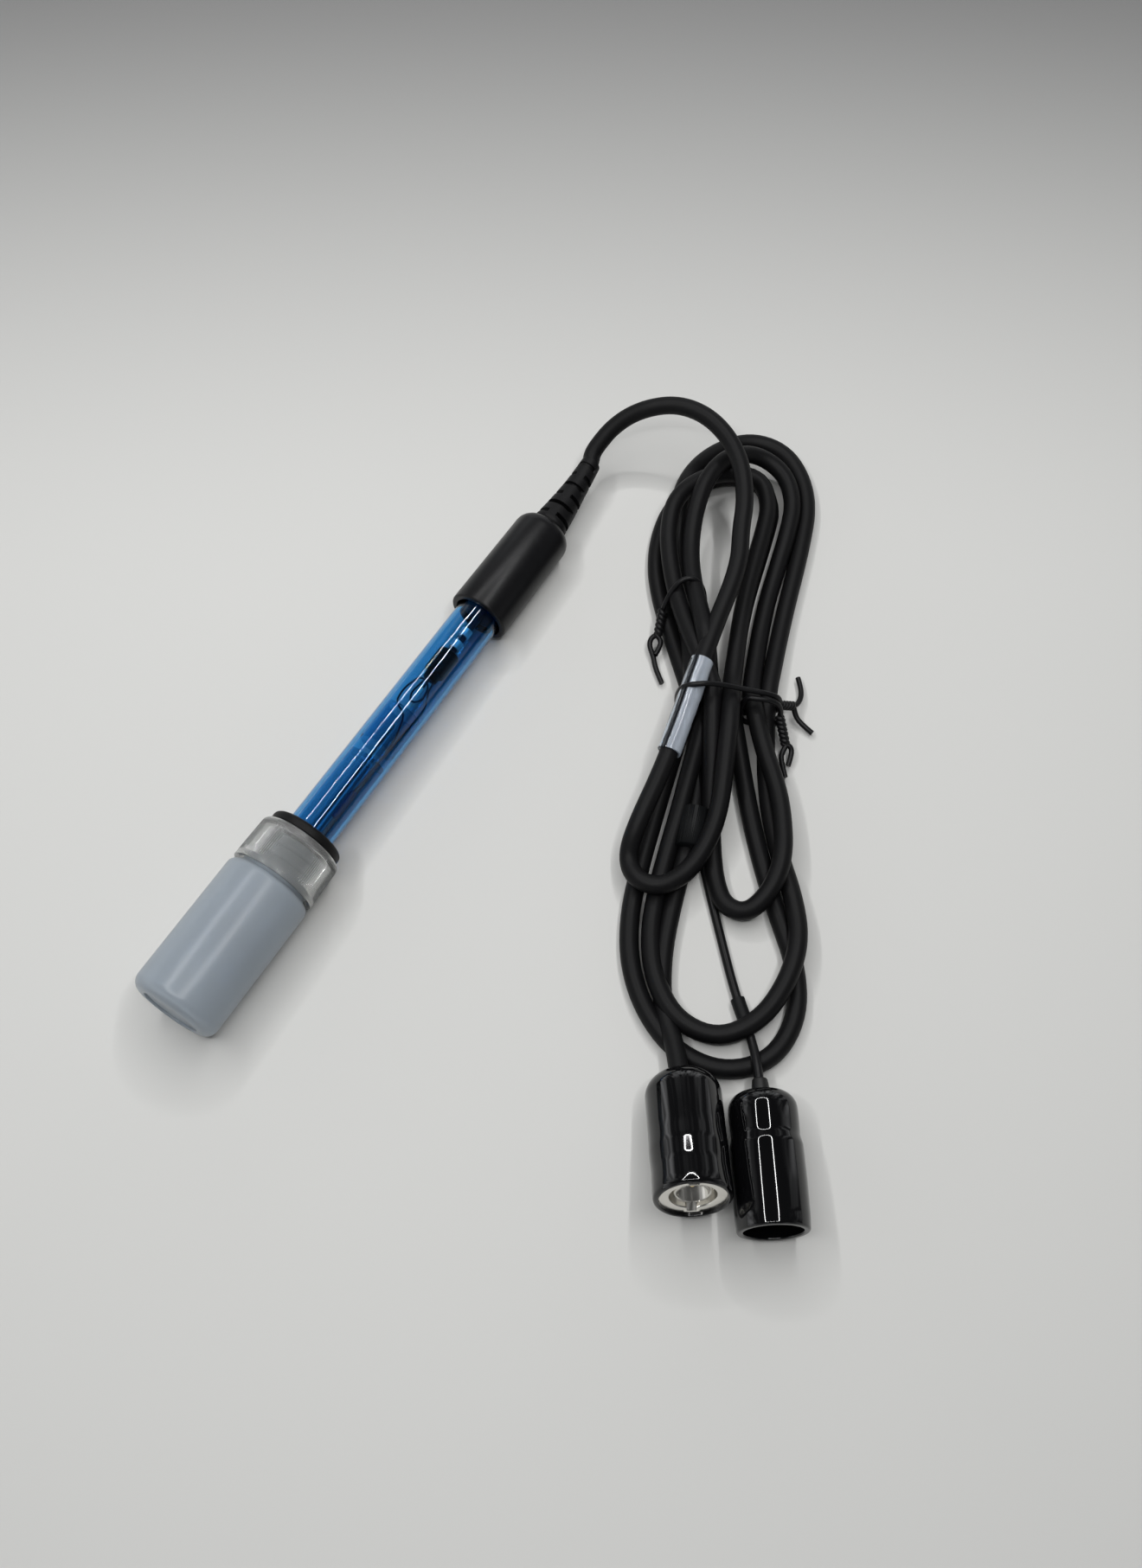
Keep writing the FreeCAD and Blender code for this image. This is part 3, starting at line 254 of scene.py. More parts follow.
# %% Turned pieces
def rounded(corners, steps=6):
    """The profile's points, with an arc for every corner that has a third number, its radius."""
    points = []
    count = len(corners)
    for i, corner in enumerate(corners):
        here = Vector(corner[:2])
        if len(corner) < 3:
            points.append(here)
            continue
        back = (Vector(corners[i - 1][:2]) - here).normalized()
        ahead = (Vector(corners[(i + 1) % count][:2]) - here).normalized()
        half = back.angle(ahead) / 2
        middle = here + (back + ahead).normalized() * (corner[2] / math.sin(half))
        reach = corner[2] / math.tan(half)
        first = (here + back * reach) - middle
        last = (here + ahead * reach) - middle
        for step in range(steps + 1):
            spoke = first.slerp(last, step / steps).normalized()
            points.append(middle + spoke * corner[2])
    return points


def new_piece(name, mesh, material):
    piece = bpy.data.objects.new(name, mesh)
    bpy.context.scene.collection.objects.link(piece)
    mesh.materials.clear()
    mesh.materials.append(material)
    return piece


def smooth(mesh, angle=40):
    mesh.shade_smooth()
    mesh.set_sharp_from_angle(angle=math.radians(angle))


def turned(name, corners, place, material, segments=96, angle=40):
    """Spin a profile about its own Z. A profile that starts and ends on the axis closes there."""
    points = rounded(corners)
    mesh = bpy.data.meshes.new(name)
    build = bmesh.new()
    rings = []
    for point in points:
        if point.x < 1e-6:
            rings.append([build.verts.new((0, 0, point.y))])
            continue
        ring = []
        for i in range(segments):
            turn = 2 * math.pi * i / segments
            ring.append(build.verts.new((point.x * math.cos(turn), point.x * math.sin(turn), point.y)))
        rings.append(ring)
    open_ended = points[0].x < 1e-6 and points[-1].x < 1e-6
    pairs = list(zip(rings, rings[1:] if open_ended else rings[1:] + rings[:1]))
    for ring, following in pairs:
        for i in range(segments):
            j = (i + 1) % segments
            face = [ring[i % len(ring)], ring[j % len(ring)], following[j % len(following)],
                    following[i % len(following)]]
            face = list(dict.fromkeys(face))
            if len(face) > 2:
                build.faces.new(face)
    bmesh.ops.recalc_face_normals(build, faces=build.faces)
    build.to_mesh(mesh)
    build.free()
    mesh.transform(place)
    smooth(mesh, angle)
    return new_piece(name, mesh, material)


# %% [markdown]
# Pieces whose measured form is already right only need soft shading. Their triangles are loose, so a
# copy is merged first: then the shading can run over the edges between them.

# %% A measured piece with its triangles merged
def merged(node, name, material, angle=32):
    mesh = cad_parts[node].data.copy()
    mesh.name = name
    build = bmesh.new()
    build.from_mesh(mesh)
    bmesh.ops.remove_doubles(build, verts=build.verts, dist=1e-6)
    build.to_mesh(mesh)
    build.free()
    smooth(mesh, angle)
    return new_piece(name, mesh, material)


def settle(piece, body, slot, *nodes):
    """Say which body carries a piece and which solids it stands for. The slot is not used."""
    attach(piece, body)
    if nodes:
        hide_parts(*nodes)
    return piece


# %% [markdown]
# ## The cable
#
# The main cable is one line, from the strain relief to the first connector. It rises in an arch,
# comes down over the hank and is folded to and fro eight times. Twist ties pinch the folds at a
# waist, and outside the ties they fan out, no two alike.
#
# The arch is given as a short list of points. The folds are worked out: each one is given by a
# few places that it passes, as a hand would lay it, a curve through those places gives the points
# between, and then each fold is lowered until it touches the floor or the cable already under it.

# %% Folds of the hank: where each one passes
CABLE = 4.7
CABLE_R = CABLE / 2
WAIST_LIFT = 1.45
ARCH = [
    (-34.8, 71.8, 9.3), (-32.5, 74.4, 11.3), (-29.4, 77.1, 13.6), (-25.0, 79.1, 16.3), (-19.7, 79.8, 18.8),
    (-13.6, 79.5, 20.6), (-8.0, 77.4, 21.5), (-2.8, 73.6, 21.5), (1.4, 68.3, 20.6), (3.8, 62.5, 19.8),
    (4.9, 56.2, 19.0), (4.9, 49.1, 18.0), (3.6, 42.0, 17.0), (2.8, 31.5, 15.4), (-5.2, 12.0, 14.1),
    (-17.0, -22.5, 14.0), (-25.0, -39.0, 10.6),
]
# Each fold: how early it was laid, how many points it gets, and the places that it passes in order
FOLDS = [
    (7, 12, [(-25.0, -39.0), (-27.0, -46.5), (-22.0, -53.6), (-12.6, -49.0), (-5.3, -36.4), (-2.2, -18.3),
             (0.1, 0.0)]),
    (4, 16, [(0.1, 0.0), (4.6, 25.6), (11.2, 49.0), (13.4, 60.5), (8.5, 67.0), (-3.0, 65.0), (-12.4, 57.0),
             (-14.8, 44.8), (-12.7, 25.4), (-8.0, 8.0), (-4.8, 0.0)]),
    (6, 20, [(-4.8, 0.0), (-5.6, -17.3), (-5.9, -44.4), (-4.6, -54.2), (-2.6, -57.9), (-0.2, -59.1),
             (2.9, -58.3), (5.8, -55.8), (8.6, -51.1), (10.6, -45.1), (10.6, -30.0), (7.4, -15.9),
             (5.2, 0.0)]),
    (5, 16, [(5.2, 0.0), (10.8, 26.8), (17.7, 48.6), (20.2, 61.0), (16.4, 71.2), (8.0, 73.0), (-1.8, 65.2),
             (-7.4, 52.4), (-9.2, 36.0), (-7.4, 20.0), (-4.9, 0.0)]),
    (4, 18, [(-4.9, 0.0), (-13.5, -31.0), (-20.0, -53.3), (-21.9, -68.0), (-18.6, -81.8), (-9.5, -89.3),
             (2.6, -85.8), (11.8, -72.7), (13.6, -60.0), (10.4, -44.7), (8.2, -25.0), (9.7, 0.0)]),
    (3, 18, [(9.7, 0.0), (15.4, 23.7), (20.8, 43.4), (24.4, 61.5), (20.1, 76.4), (10.0, 81.5), (-3.2, 74.4),
             (-10.9, 60.8), (-11.5, 42.8), (-10.0, 22.7), (-9.6, 0.0)]),
    (2, 18, [(-9.6, 0.0), (-18.4, -28.0), (-25.2, -52.2), (-27.1, -66.5), (-24.0, -81.0), (-14.4, -93.6),
             (-1.0, -96.9), (9.2, -90.6), (13.5, -77.0), (10.0, -62.0), (4.6, -38.0), (0.1, 0.0)]),
    (1, 16, [(0.1, 0.0), (4.8, 25.6), (11.0, 46.0), (14.6, 60.0), (9.5, 70.0), (-2.0, 68.6), (-12.0, 61.0),
             (-17.4, 46.5), (-17.4, 33.0), (-14.5, 19.8), (-9.6, 0.0)]),
]
LAST_FOLD = (1, 5, [(-9.6, 0.0), (-9.0, -18.0), (-9.0, -31.0)])
LEAD_ROUTE = [(-12.2, -42.0, 2.35), (-15.9, -55.0, 2.4), (-19.0, -69.0, 2.4), (-19.2, -82.5, 2.6)]


def walked(points):
    """How far along a line of points each one lies."""
    distances = [0.0]
    for here, following in zip(points, points[1:]):
        distances.append(distances[-1] + (following - here).length)
    return distances


def places_at(points, targets):
    """The places at these distances along a line of points. Each distance is past the one before."""
    distances = walked(points)
    places = []
    at = 0
    for target in targets:
        while distances[at + 1] < target:
            at += 1
        part = (target - distances[at]) / (distances[at + 1] - distances[at])
        places.append(points[at].lerp(points[at + 1], part))
    return places


def through(places, count):
    """Evenly spaced points of a smooth curve that passes the places in order, without its last end."""
    knots = [Vector(place) for place in places]
    ends = [2 * knots[0] - knots[1]] + knots + [2 * knots[-1] - knots[-2]]
    dense = []
    for before, start, end, after in zip(ends, ends[1:], ends[2:], ends[3:]):
        for step in range(24):
            part = step / 24
            pull = (end - before) / 2
            push = (after - start) / 2
            dense.append(
                start * (2 * part**3 - 3 * part**2 + 1) + pull * (part**3 - 2 * part**2 + part)
                + end * (3 * part**2 - 2 * part**3) + push * (part**3 - part**2)
            )
    dense.append(knots[-1])
    whole = walked(dense)[-1]
    return places_at(dense, [whole * i / count for i in range(count)])


flat = []
ranks = []
for rank, count, places in FOLDS + [LAST_FOLD]:
    for point in through(places, count):
        flat.append(point)
        ranks.append(rank)
flat.pop(0)
ranks.pop(0)
print(len(flat), "points in the hank")

# %% [markdown]
# A cable that crosses another rests on it, so its centre is a cable's width higher just there. Beside
# the crossing it is lower by the rule of the circle. The folds that were laid first are lowered first.
# A stiff cable can't drop straight down after a crossing, so its heights are then eased along it.

# %% Lower each fold onto what lies under it
def floor_height(point):
    return CABLE_R + (WAIST_LIFT if abs(point.y) < 4 else 0)


heights = [floor_height(point) for point in flat]
for rank in sorted(set(ranks)):
    under = []
    for i in range(len(flat) - 1):
        if ranks[i] < rank and ranks[i + 1] < rank:
            for step in range(5):
                part = step / 5
                height = heights[i] * (1 - part) + heights[i + 1] * part
                under.append((flat[i].lerp(flat[i + 1], part), height))
    mine = [i for i in range(len(flat)) if ranks[i] == rank]
    for i in mine:
        for place, height in under:
            apart = (place - flat[i]).length
            if apart < CABLE:
                heights[i] = max(heights[i], height + math.sqrt(CABLE**2 - apart**2))
    for again in range(4):
        eased = list(heights)
        for i in mine:
            if 0 < i < len(flat) - 1:
                eased[i] = max(heights[i], (heights[i - 1] + 2 * heights[i] + heights[i + 1]) / 4)
        heights = eased
hank_points = [(p.x, p.y, h) for p, h in zip(flat, heights)]
print("hank heights in mm, lowest and highest:", round(min(heights), 1), round(max(heights), 1))

# %% [markdown]
# The line itself is a NURBS curve, because its control points pull it like fingers on a soft cable:
# it never kinks. The order is set after the points are added, or it would fall back to straight runs.

# %% The main cable
def line(name, points, radius, material, resolution=6, around=5):
    """A round cable along control points in metres."""
    curve = bpy.data.curves.new(name, "CURVE")
    curve.dimensions = "3D"
    spline = curve.splines.new("NURBS")
    spline.points.add(len(points) - 1)
    for control, point in zip(spline.points, points):
        control.co = (*point, 1.0)
    spline.order_u = 3
    spline.use_endpoint_u = True
    spline.resolution_u = resolution
    curve.bevel_depth = radius
    curve.bevel_resolution = around
    curve.use_fill_caps = True
    curve.materials.append(material)
    piece = bpy.data.objects.new(name, curve)
    bpy.context.scene.collection.objects.link(piece)
    return piece


def centreline(piece):
    """Points read along a curve, from a copy of it that has no thickness."""
    bare = piece.data.copy()
    bare.bevel_depth = 0
    holder = bpy.data.objects.new("bare", bare)
    bpy.context.scene.collection.objects.link(holder)
    mesh = bpy.data.meshes.new_from_object(holder)
    points = [vertex.co.copy() for vertex in mesh.vertices]
    bpy.data.objects.remove(holder)
    bpy.data.curves.remove(bare)
    bpy.data.meshes.remove(mesh)
    return points


RELIEF_START = 158.6
RELIEF_PUSH = (-0.8, 0.3, 1.8)


def bent(station):
    """How far the relief's soft end is pushed aside at this station, in the part's own axes."""
    share = max(0.0, (station - RELIEF_START) / (RELIEF_END - RELIEF_START))
    return Vector(RELIEF_PUSH) * (share**2 * MM)


FIRST_STATIONS = (156.0, 168.0, RELIEF_END)
INTO_BNC = (-5.5, 19.7)
cable_points = [AXIS @ Vector((0, 0, station)) + bent(station) for station in FIRST_STATIONS]
cable_points += [HANK @ Vector(p) for p in ARCH]
cable_points += [HANK @ Vector(p) for p in hank_points]
cable_points += [HANK @ Vector(p) for p in LEAD_ROUTE]
cable_points += [BNC @ Vector((0, 0, station)) for station in INTO_BNC]
cable = line("Cable", cable_points, CABLE_R * MM, JACKET)
cable_length = walked(centreline(cable))[-1]
print("the main cable is", round(cable_length, 3), "m long")

# %% The thin lead to the temperature connector
THIN_R = 1.1
THIN_ROUTE = [
    (-8.6, -42.7, 1.9), (-7.0, -52.0, 1.3), (-4.4, -65.0, 1.2), (-1.9, -77.5, 1.3), (1.2, -89.0, 3.6),
]
INTO_PLUG = (-4.5, 6.8)
thin_points = [HANK @ Vector(p) for p in THIN_ROUTE]
thin_points += [TEMP @ Vector((0, 0, station)) for station in INTO_PLUG]
thin_lead = line("Thin_Lead", thin_points, THIN_R * MM, THIN_JACKET)
thin_length = walked(centreline(thin_lead))[-1]
print("the thin lead is", round(thin_length, 3), "m long")

# %% [markdown]
# ## The storage bottle
#
# The bottle is a blown shell, so its profile has an outside and an inside with a wall between. Light
# has to pass through that wall twice to show the pale haze of the plastic. The base is recessed, as a
# real bottle's is, or it would rock. The neck carries a thread that shows dimly through the cap.

# %% Storage bottle
bottle = turned(
    "Bottle",
    [
        (0, 0.6), (7.25, 0.6), (7.25, 0, 0.35), (11.15, 0, 3.0), (11.15, 37.3, 1.8), (8.8, 37.3, 0.4),
        (8.8, 47.5, 0.35), (7.8, 47.5, 0.35), (7.8, 36.3), (10.15, 36.3, 1.3), (10.15, 1.6, 2.0), (0, 1.6),
    ],
    AXIS, BOTTLE, segments=128,
)
settle(bottle, "bottle", "milky_bottle", "storage_bottle")
THREAD_TURNS = 2.2
THREAD_PITCH = 2.8
THREAD_START = 39.9
THREAD_STEPS = 36
thread_points = []
for i in range(int(THREAD_TURNS * THREAD_STEPS) + 1):
    angle = 2 * math.pi * i / THREAD_STEPS
    station = THREAD_START + THREAD_PITCH * i / THREAD_STEPS
    thread_points.append(AXIS @ Vector((8.75 * math.cos(angle), 8.75 * math.sin(angle), station)))
thread = line("Bottle_Thread", thread_points, 0.55 * MM, BOTTLE, resolution=2, around=3)
settle(thread, "bottle", "milky_bottle")
print("bottle:", len(bottle.data.polygons), "faces")

# %% [markdown]
# ## The ribbed cap
#
# The cap's grip is a fine wave round its side. A small node group moves each point of a plain cap in
# or out by a cosine of its angle, so one number sets how many ribs there are. The wave stops sharply at
# both ends of the skirt, and the group leaves the inside of the wall alone. The result is turned into
# a plain mesh, so nothing has to be worked out again when the cap is used elsewhere.

# %% Ribs as a node group
def rib_group():
    group = bpy.data.node_groups.new("Grip ribs", "GeometryNodeTree")
    face = group.interface
    face.new_socket("Geometry", in_out="INPUT", socket_type="NodeSocketGeometry")
    for name, value in (("Ribs", 120.0), ("Depth", 0.3), ("Start", 39.4), ("End", 48.4), ("Inside", 10.3)):
        face.new_socket(name, in_out="INPUT", socket_type="NodeSocketFloat").default_value = value
    face.new_socket("Geometry", in_out="OUTPUT", socket_type="NodeSocketGeometry")
    nodes, links = group.nodes, group.links
    start, end = nodes.new("NodeGroupInput"), nodes.new("NodeGroupOutput")

    def math_node(operation, first, second=None):
        node = nodes.new("ShaderNodeMath")
        node.operation = operation
        for socket, value in zip(node.inputs, (first, second)):
            if value is None:
                continue
            if isinstance(value, (int, float)):
                socket.default_value = value
            else:
                links.new(value, socket)
        return node.outputs["Value"]

    position = nodes.new("GeometryNodeInputPosition").outputs["Position"]
    parts = nodes.new("ShaderNodeSeparateXYZ")
    links.new(position, parts.inputs["Vector"])
    x, y, z = (parts.outputs[axis] for axis in "XYZ")
    angle = math_node("ARCTAN2", y, x)
    wave = math_node("COSINE", math_node("MULTIPLY", angle, start.outputs["Ribs"]))
    half_depth = math_node("MULTIPLY", start.outputs["Depth"], 0.5)
    depth = math_node("MULTIPLY", math_node("SUBTRACT", wave, 1.0), half_depth)
    radius = math_node("SQRT", math_node("ADD", math_node("MULTIPLY", x, x), math_node("MULTIPLY", y, y)))
    outside = math_node("GREATER_THAN", radius, start.outputs["Inside"])
    above = math_node("GREATER_THAN", z, start.outputs["Start"])
    below = math_node("LESS_THAN", z, start.outputs["End"])
    here = math_node("MULTIPLY", outside, above)
    amount = math_node("MULTIPLY", here, math_node("MULTIPLY", below, depth))
    share = math_node("DIVIDE", amount, radius)
    offset = nodes.new("ShaderNodeCombineXYZ")
    links.new(math_node("MULTIPLY", x, share), offset.inputs["X"])
    links.new(math_node("MULTIPLY", y, share), offset.inputs["Y"])
    move = nodes.new("GeometryNodeSetPosition")
    links.new(start.outputs["Geometry"], move.inputs["Geometry"])
    links.new(offset.outputs["Vector"], move.inputs["Offset"])
    links.new(move.outputs["Geometry"], end.inputs["Geometry"])
    return group


def baked(piece, group, **values):
    """The piece's mesh after the node group, as a plain mesh without the modifier."""
    modifier = piece.modifiers.new(group.name, "NODES")
    modifier.node_group = group
    for item in group.interface.items_tree:
        if item.item_type == "SOCKET" and item.in_out == "INPUT" and item.name in values:
            modifier[item.identifier] = values[item.name]
    depsgraph = bpy.context.evaluated_depsgraph_get()
    mesh = bpy.data.meshes.new_from_object(piece.evaluated_get(depsgraph), depsgraph=depsgraph)
    piece.modifiers.remove(modifier)
    piece.data = mesh
    return mesh


# %% Cap
cap = turned(
    "Cap",
    [
        (11.0, 38.0, 0.15), (10.97, 39.3), (10.963, 39.6), (10.93, 41.5), (10.87, 44), (10.8, 46.5),
        (10.744, 48.1), (10.737, 48.45), (10.7, 49.8, 1.1), (7.7, 49.8, 0.2), (7.7, 48.1), (9.7, 48.1, 0.4),
        (9.7, 38.0, 0.15),
    ],
    Matrix.Identity(4), CAP_CLEAR, segments=720, angle=60,
)
cap_mesh = baked(cap, rib_group(), Ribs=120.0, Depth=0.32)
cap_mesh.transform(AXIS)
settle(cap, "cap", "clear_cap", "storage_cap")
print("cap:", len(cap_mesh.polygons), "faces")

# %% Seal ring
seal = turned(
    "Seal",
    [(6.03, 47.65), (7.55, 47.65), (7.55, 49.95), (9.55, 49.95, 0.3), (9.55, 52.45, 1.1), (6.03, 52.45, 0.4)],
    AXIS, RUBBER,
)
settle(seal, "seal", "seal_rubber", "seal_ring")

# %% [markdown]
# ## The tube and what stands in it
#
# What matters here is how light crosses the pieces: air, blue plastic, gel, glass, gel and plastic
# again. A long highlight runs straight only if the shading along it is even, so the tube, the stem and
# the two gels are turned afresh with rings close together. The tube's lower end is a guard: four
# notches let the liquid in. The gel is given an index close to air's, so it doesn't hide the stem.

# %% Tube, stem and gel
TUBE_R = 6.0
TUBE_BORE_R = 5.0
NOTCH_HALF = math.radians(20)
TUBE_SEGMENTS = 144
TUBE_STATIONS = (12.0, 17.5, 40.0, 68.0, 96.0, 132.0)


def in_notch(segment):
    """True where a segment of the tube's lowest row is left open."""
    turn = (segment + 0.5) * 2 * math.pi / TUBE_SEGMENTS % (math.pi / 2)
    return min(turn, math.pi / 2 - turn) < NOTCH_HALF


build = bmesh.new()
walls = []
for radius in (TUBE_R, TUBE_BORE_R):
    rings = []
    for station in TUBE_STATIONS:
        ring = []
        for i in range(TUBE_SEGMENTS):
            turn = 2 * math.pi * i / TUBE_SEGMENTS
            ring.append(build.verts.new((radius * math.cos(turn), radius * math.sin(turn), station)))
        rings.append(ring)
    walls.append(rings)
outer, inner = walls
for i in range(TUBE_SEGMENTS):
    j = (i + 1) % TUBE_SEGMENTS
    low = 1 if in_notch(i) else 0
    for row in range(low, len(TUBE_STATIONS) - 1):
        build.faces.new((outer[row][i], outer[row][j], outer[row + 1][j], outer[row + 1][i]))
        build.faces.new((inner[row][j], inner[row][i], inner[row + 1][i], inner[row + 1][j]))
    build.faces.new((inner[low][i], inner[low][j], outer[low][j], outer[low][i]))
    build.faces.new((outer[-1][i], outer[-1][j], inner[-1][j], inner[-1][i]))
    if in_notch(i) != in_notch(i - 1):
        build.faces.new((outer[0][i], outer[1][i], inner[1][i], inner[0][i]))
bmesh.ops.delete(build, geom=[vert for vert in build.verts if not vert.link_faces], context="VERTS")
bmesh.ops.recalc_face_normals(build, faces=build.faces)
print("open edges on the tube:", sum(edge.is_boundary for edge in build.edges))
tube_mesh = bpy.data.meshes.new("Tube")
build.to_mesh(tube_mesh)
build.free()
tube_mesh.transform(AXIS)
smooth(tube_mesh)
tube = new_piece("Tube", tube_mesh, TUBE_BLUE)
settle(tube, "electrode", "blue_tube", "body_tube")
stem = turned(
    "Stem",
    [
        (0.35, 18.4), (1.5, 18.4), (1.5, 30.0), (1.5, 40.0), (1.45, 44.0, 20), (0.96, 60.0, 40),
        (0.90, 64.0), (0.65, 85.0), (0.65, 94.4, 6), (0.43, 100.2, 0.06), (0.35, 100.2),
    ],
    AXIS, GLASS, segments=64, angle=50,
)
settle(stem, "electrode", "stem_glass", "glass_stem")
gel_lower = turned(
    "Gel_Lower",
    [(4.95, 25.05), (4.95, 50.0), (4.95, 75.9), (1.55, 75.9), (1.55, 50.0), (1.55, 25.05)],
    AXIS, GEL,
)
settle(gel_lower, "electrode", "gel", "gel_lower")
gel_upper = turned("Gel_Upper", [(4.95, 80.2), (4.95, 91.5), (4.25, 91.5), (4.25, 80.2)], AXIS, GEL)
settle(gel_upper, "electrode", "gel", "gel_upper")

# %% [markdown]
# The other parts in the tube keep their measured form, and so do the metal parts of the connectors.

# %% Pieces that keep their measured form
KEPT = [
    ("tip_seal", "Tip_Plug", EPOXY, "electrode", "epoxy"),
    ("reference_junction", "Junction", CERAMIC, "electrode", "ceramic"),
    ("stem_wire", "Stem_Wire", DARK_WIRE, "electrode", "dark_wire"),
    ("platinum_tip", "Platinum_Tip", PLATINUM, "electrode", "platinum"),
    ("reference_element", "Reference_Rod", ROD, "electrode", "reference_rod"),
    ("reference_wire", "Reference_Wire", DARK_WIRE, "electrode", "dark_wire"),
    ("temperature_sensor", "Sensor", BEAD, "electrode", "sensor_bead"),
    ("temperature_wire", "Sensor_Wire", DARK_WIRE, "electrode", "dark_wire"),
    ("lead_splice", "Splice", SHRINK, "electrode", "black_shrink"),
    ("inner_lead", "Inner_Lead", LEAD, "electrode", "dark_lead"),
    ("crimp_sleeves", "Crimps", TIN, "electrode", "crimp_tin"),
    ("upper_potting", "Potting", EPOXY, "electrode", "epoxy"),
    ("strain_relief", "Relief", RELIEF, "electrode", "relief_black"),
    ("split_sleeve", "Split_Sleeve", SHRINK, "electrode", "black_shrink"),
    ("bnc_coupling_ring", "Coupling_Ring", NICKEL, "coupling", "nickel"),
    ("bnc_body", "Socket_Body", NICKEL, "electrode", "nickel"),
    ("bnc_insulator", "Socket_Insulator", INSULATOR, "electrode", "white_insulator"),
    ("bnc_pin", "Socket_Pin", GOLD, "electrode", "gold_pin"),
    ("temperature_plug", "Plug_Body", PLUG_BLACK, "electrode", "plug_black"),
    ("temperature_insulator", "Plug_Insulator", PLUG_BLACK, "electrode", "plug_black"),
    ("temperature_pin", "Plug_Pin", NICKEL, "electrode", "nickel"),
]
kept = {}
for node, name, material, body, slot in KEPT:
    kept[node] = settle(merged(node, name, material), body, slot, node)
away = AXIS.inverted()
for vertex in kept["strain_relief"].data.vertices:
    vertex.co += bent((away @ vertex.co).z)
print(len(kept), "measured pieces with new finishes")

# %% [markdown]
# ## The head and the two boots
#
# These are simple turned forms, but they have to be exact: a glossy surface shows every mistake in
# its highlights. The waist of the first boot is one large arc, which bends its reflections gently.
# The second boot steps out where the plug inside is wider.

# %% Head and boots
head = turned(
    "Head",
    [
        (6.45, 125.3, 0.25), (8.1, 125.3, 0.6), (7.75, 158.6, 3.8), (3.85, 158.6), (3.85, 151.6),
        (5.3, 151.6), (5.3, 132.05), (6.05, 132.05), (6.05, 127.9), (6.45, 127.9),
    ],
    AXIS, HEAD, segments=128,
)
settle(head, "electrode", "head_black", "head_cap")
bnc_boot = turned(
    "Socket_Boot",
    [
        (2.5, 0, 0.4), (5.4, 0, 6.0), (8.72, 3.32, 5.2), (8.60, 15.0, 60), (8.74, 19.0, 22),
        (8.58, 23.6, 25), (8.72, 28.2, 25), (8.66, 30.3, 0.9), (7.4, 30.3, 0.4), (7.4, 16.8),
        (5.6, 16.8), (5.6, 5.4), (2.5, 5.4),
    ],
    BNC, BOOT, segments=128,
)
settle(bnc_boot, "coupling", "boot_black", "bnc_boot")
temperature_boot = turned(
    "Plug_Boot",
    [
        (2.75, 0, 0.6), (7.8, 0, 4.0), (7.86, 6.5, 60), (7.76, 10.2, 5), (8.24, 12.3, 5), (8.32, 20.0, 120),
        (8.22, 27.6, 20), (7.98, 30.8, 0.55), (6.5, 30.8, 0.4), (6.5, 14.8), (4.7, 14.8), (4.7, 5.0),
        (2.75, 5.0),
    ],
    TEMP, BOOT, segments=128,
)
settle(temperature_boot, "electrode", "boot_black", "temperature_boot")
collar = turned(
    "Boot_Collar",
    [(1.15, -3.4, 0.2), (1.75, -3.4, 0.5), (2.05, -0.6), (2.7, -0.5), (2.7, 5.0), (1.15, 5.0)],
    TEMP, PLUG_BLACK, segments=64,
)
settle(collar, "electrode", "plug_black", "temperature_collar")

# %% [markdown]
# ## Sleeves that follow the cable
#
# A sleeve on a bent cable can't be a cylinder. Rings are set along the cable's own centreline, each
# square to it, and joined into a tube with an inside and an outside. The clear label sleeve holds a
# pale strip that covers part of the way round, so an attribute with the angle goes with each point.

# %% Tubes along a centreline
SLEEVE_ROWS = 24


def stretch(points, middle, length):
    """The part of a centreline that is this long and has its middle nearest to the place."""
    nearest = min(range(len(points)), key=lambda i: (points[i] - middle).length)
    centre = walked(points)[nearest]
    low, high = centre - length / 2, centre + length / 2
    return places_at(points, [low + (high - low) * i / SLEEVE_ROWS for i in range(SLEEVE_ROWS + 1)])


def sleeve_along(name, points, outer, inner, material, segments=48, wobble=0.0):
    mesh = bpy.data.meshes.new(name)
    build = bmesh.new()
    turn_layer = build.verts.layers.float.new("turn")
    rows = [[], []]
    side = Vector((0, 0, 1))
    for row, point in enumerate(points):
        ahead = points[min(row + 1, len(points) - 1)] - points[max(row - 1, 0)]
        ahead.normalize()
        right = ahead.cross(side).normalized()
        up = right.cross(ahead)
        for layer, radius in enumerate((outer, inner)):
            ring = []
            for i in range(segments):
                turn = 2 * math.pi * i / segments
                reach = radius
                if layer == 0:
                    reach += wobble * math.sin(3 * turn + row * 0.5) * math.sin(row * 0.9)
                vert = build.verts.new(point + (right * math.cos(turn) + up * math.sin(turn)) * reach)
                vert[turn_layer] = i / segments
                ring.append(vert)
            rows[layer].append(ring)
    loop = rows[0] + rows[1][::-1]
    for ring, following in zip(loop, loop[1:] + loop[:1]):
        for i in range(segments):
            j = (i + 1) % segments
            build.faces.new((ring[i], ring[j], following[j], following[i]))
    bmesh.ops.recalc_face_normals(build, faces=build.faces)
    build.to_mesh(mesh)
    build.free()
    smooth(mesh, 50)
    return new_piece(name, mesh, material)


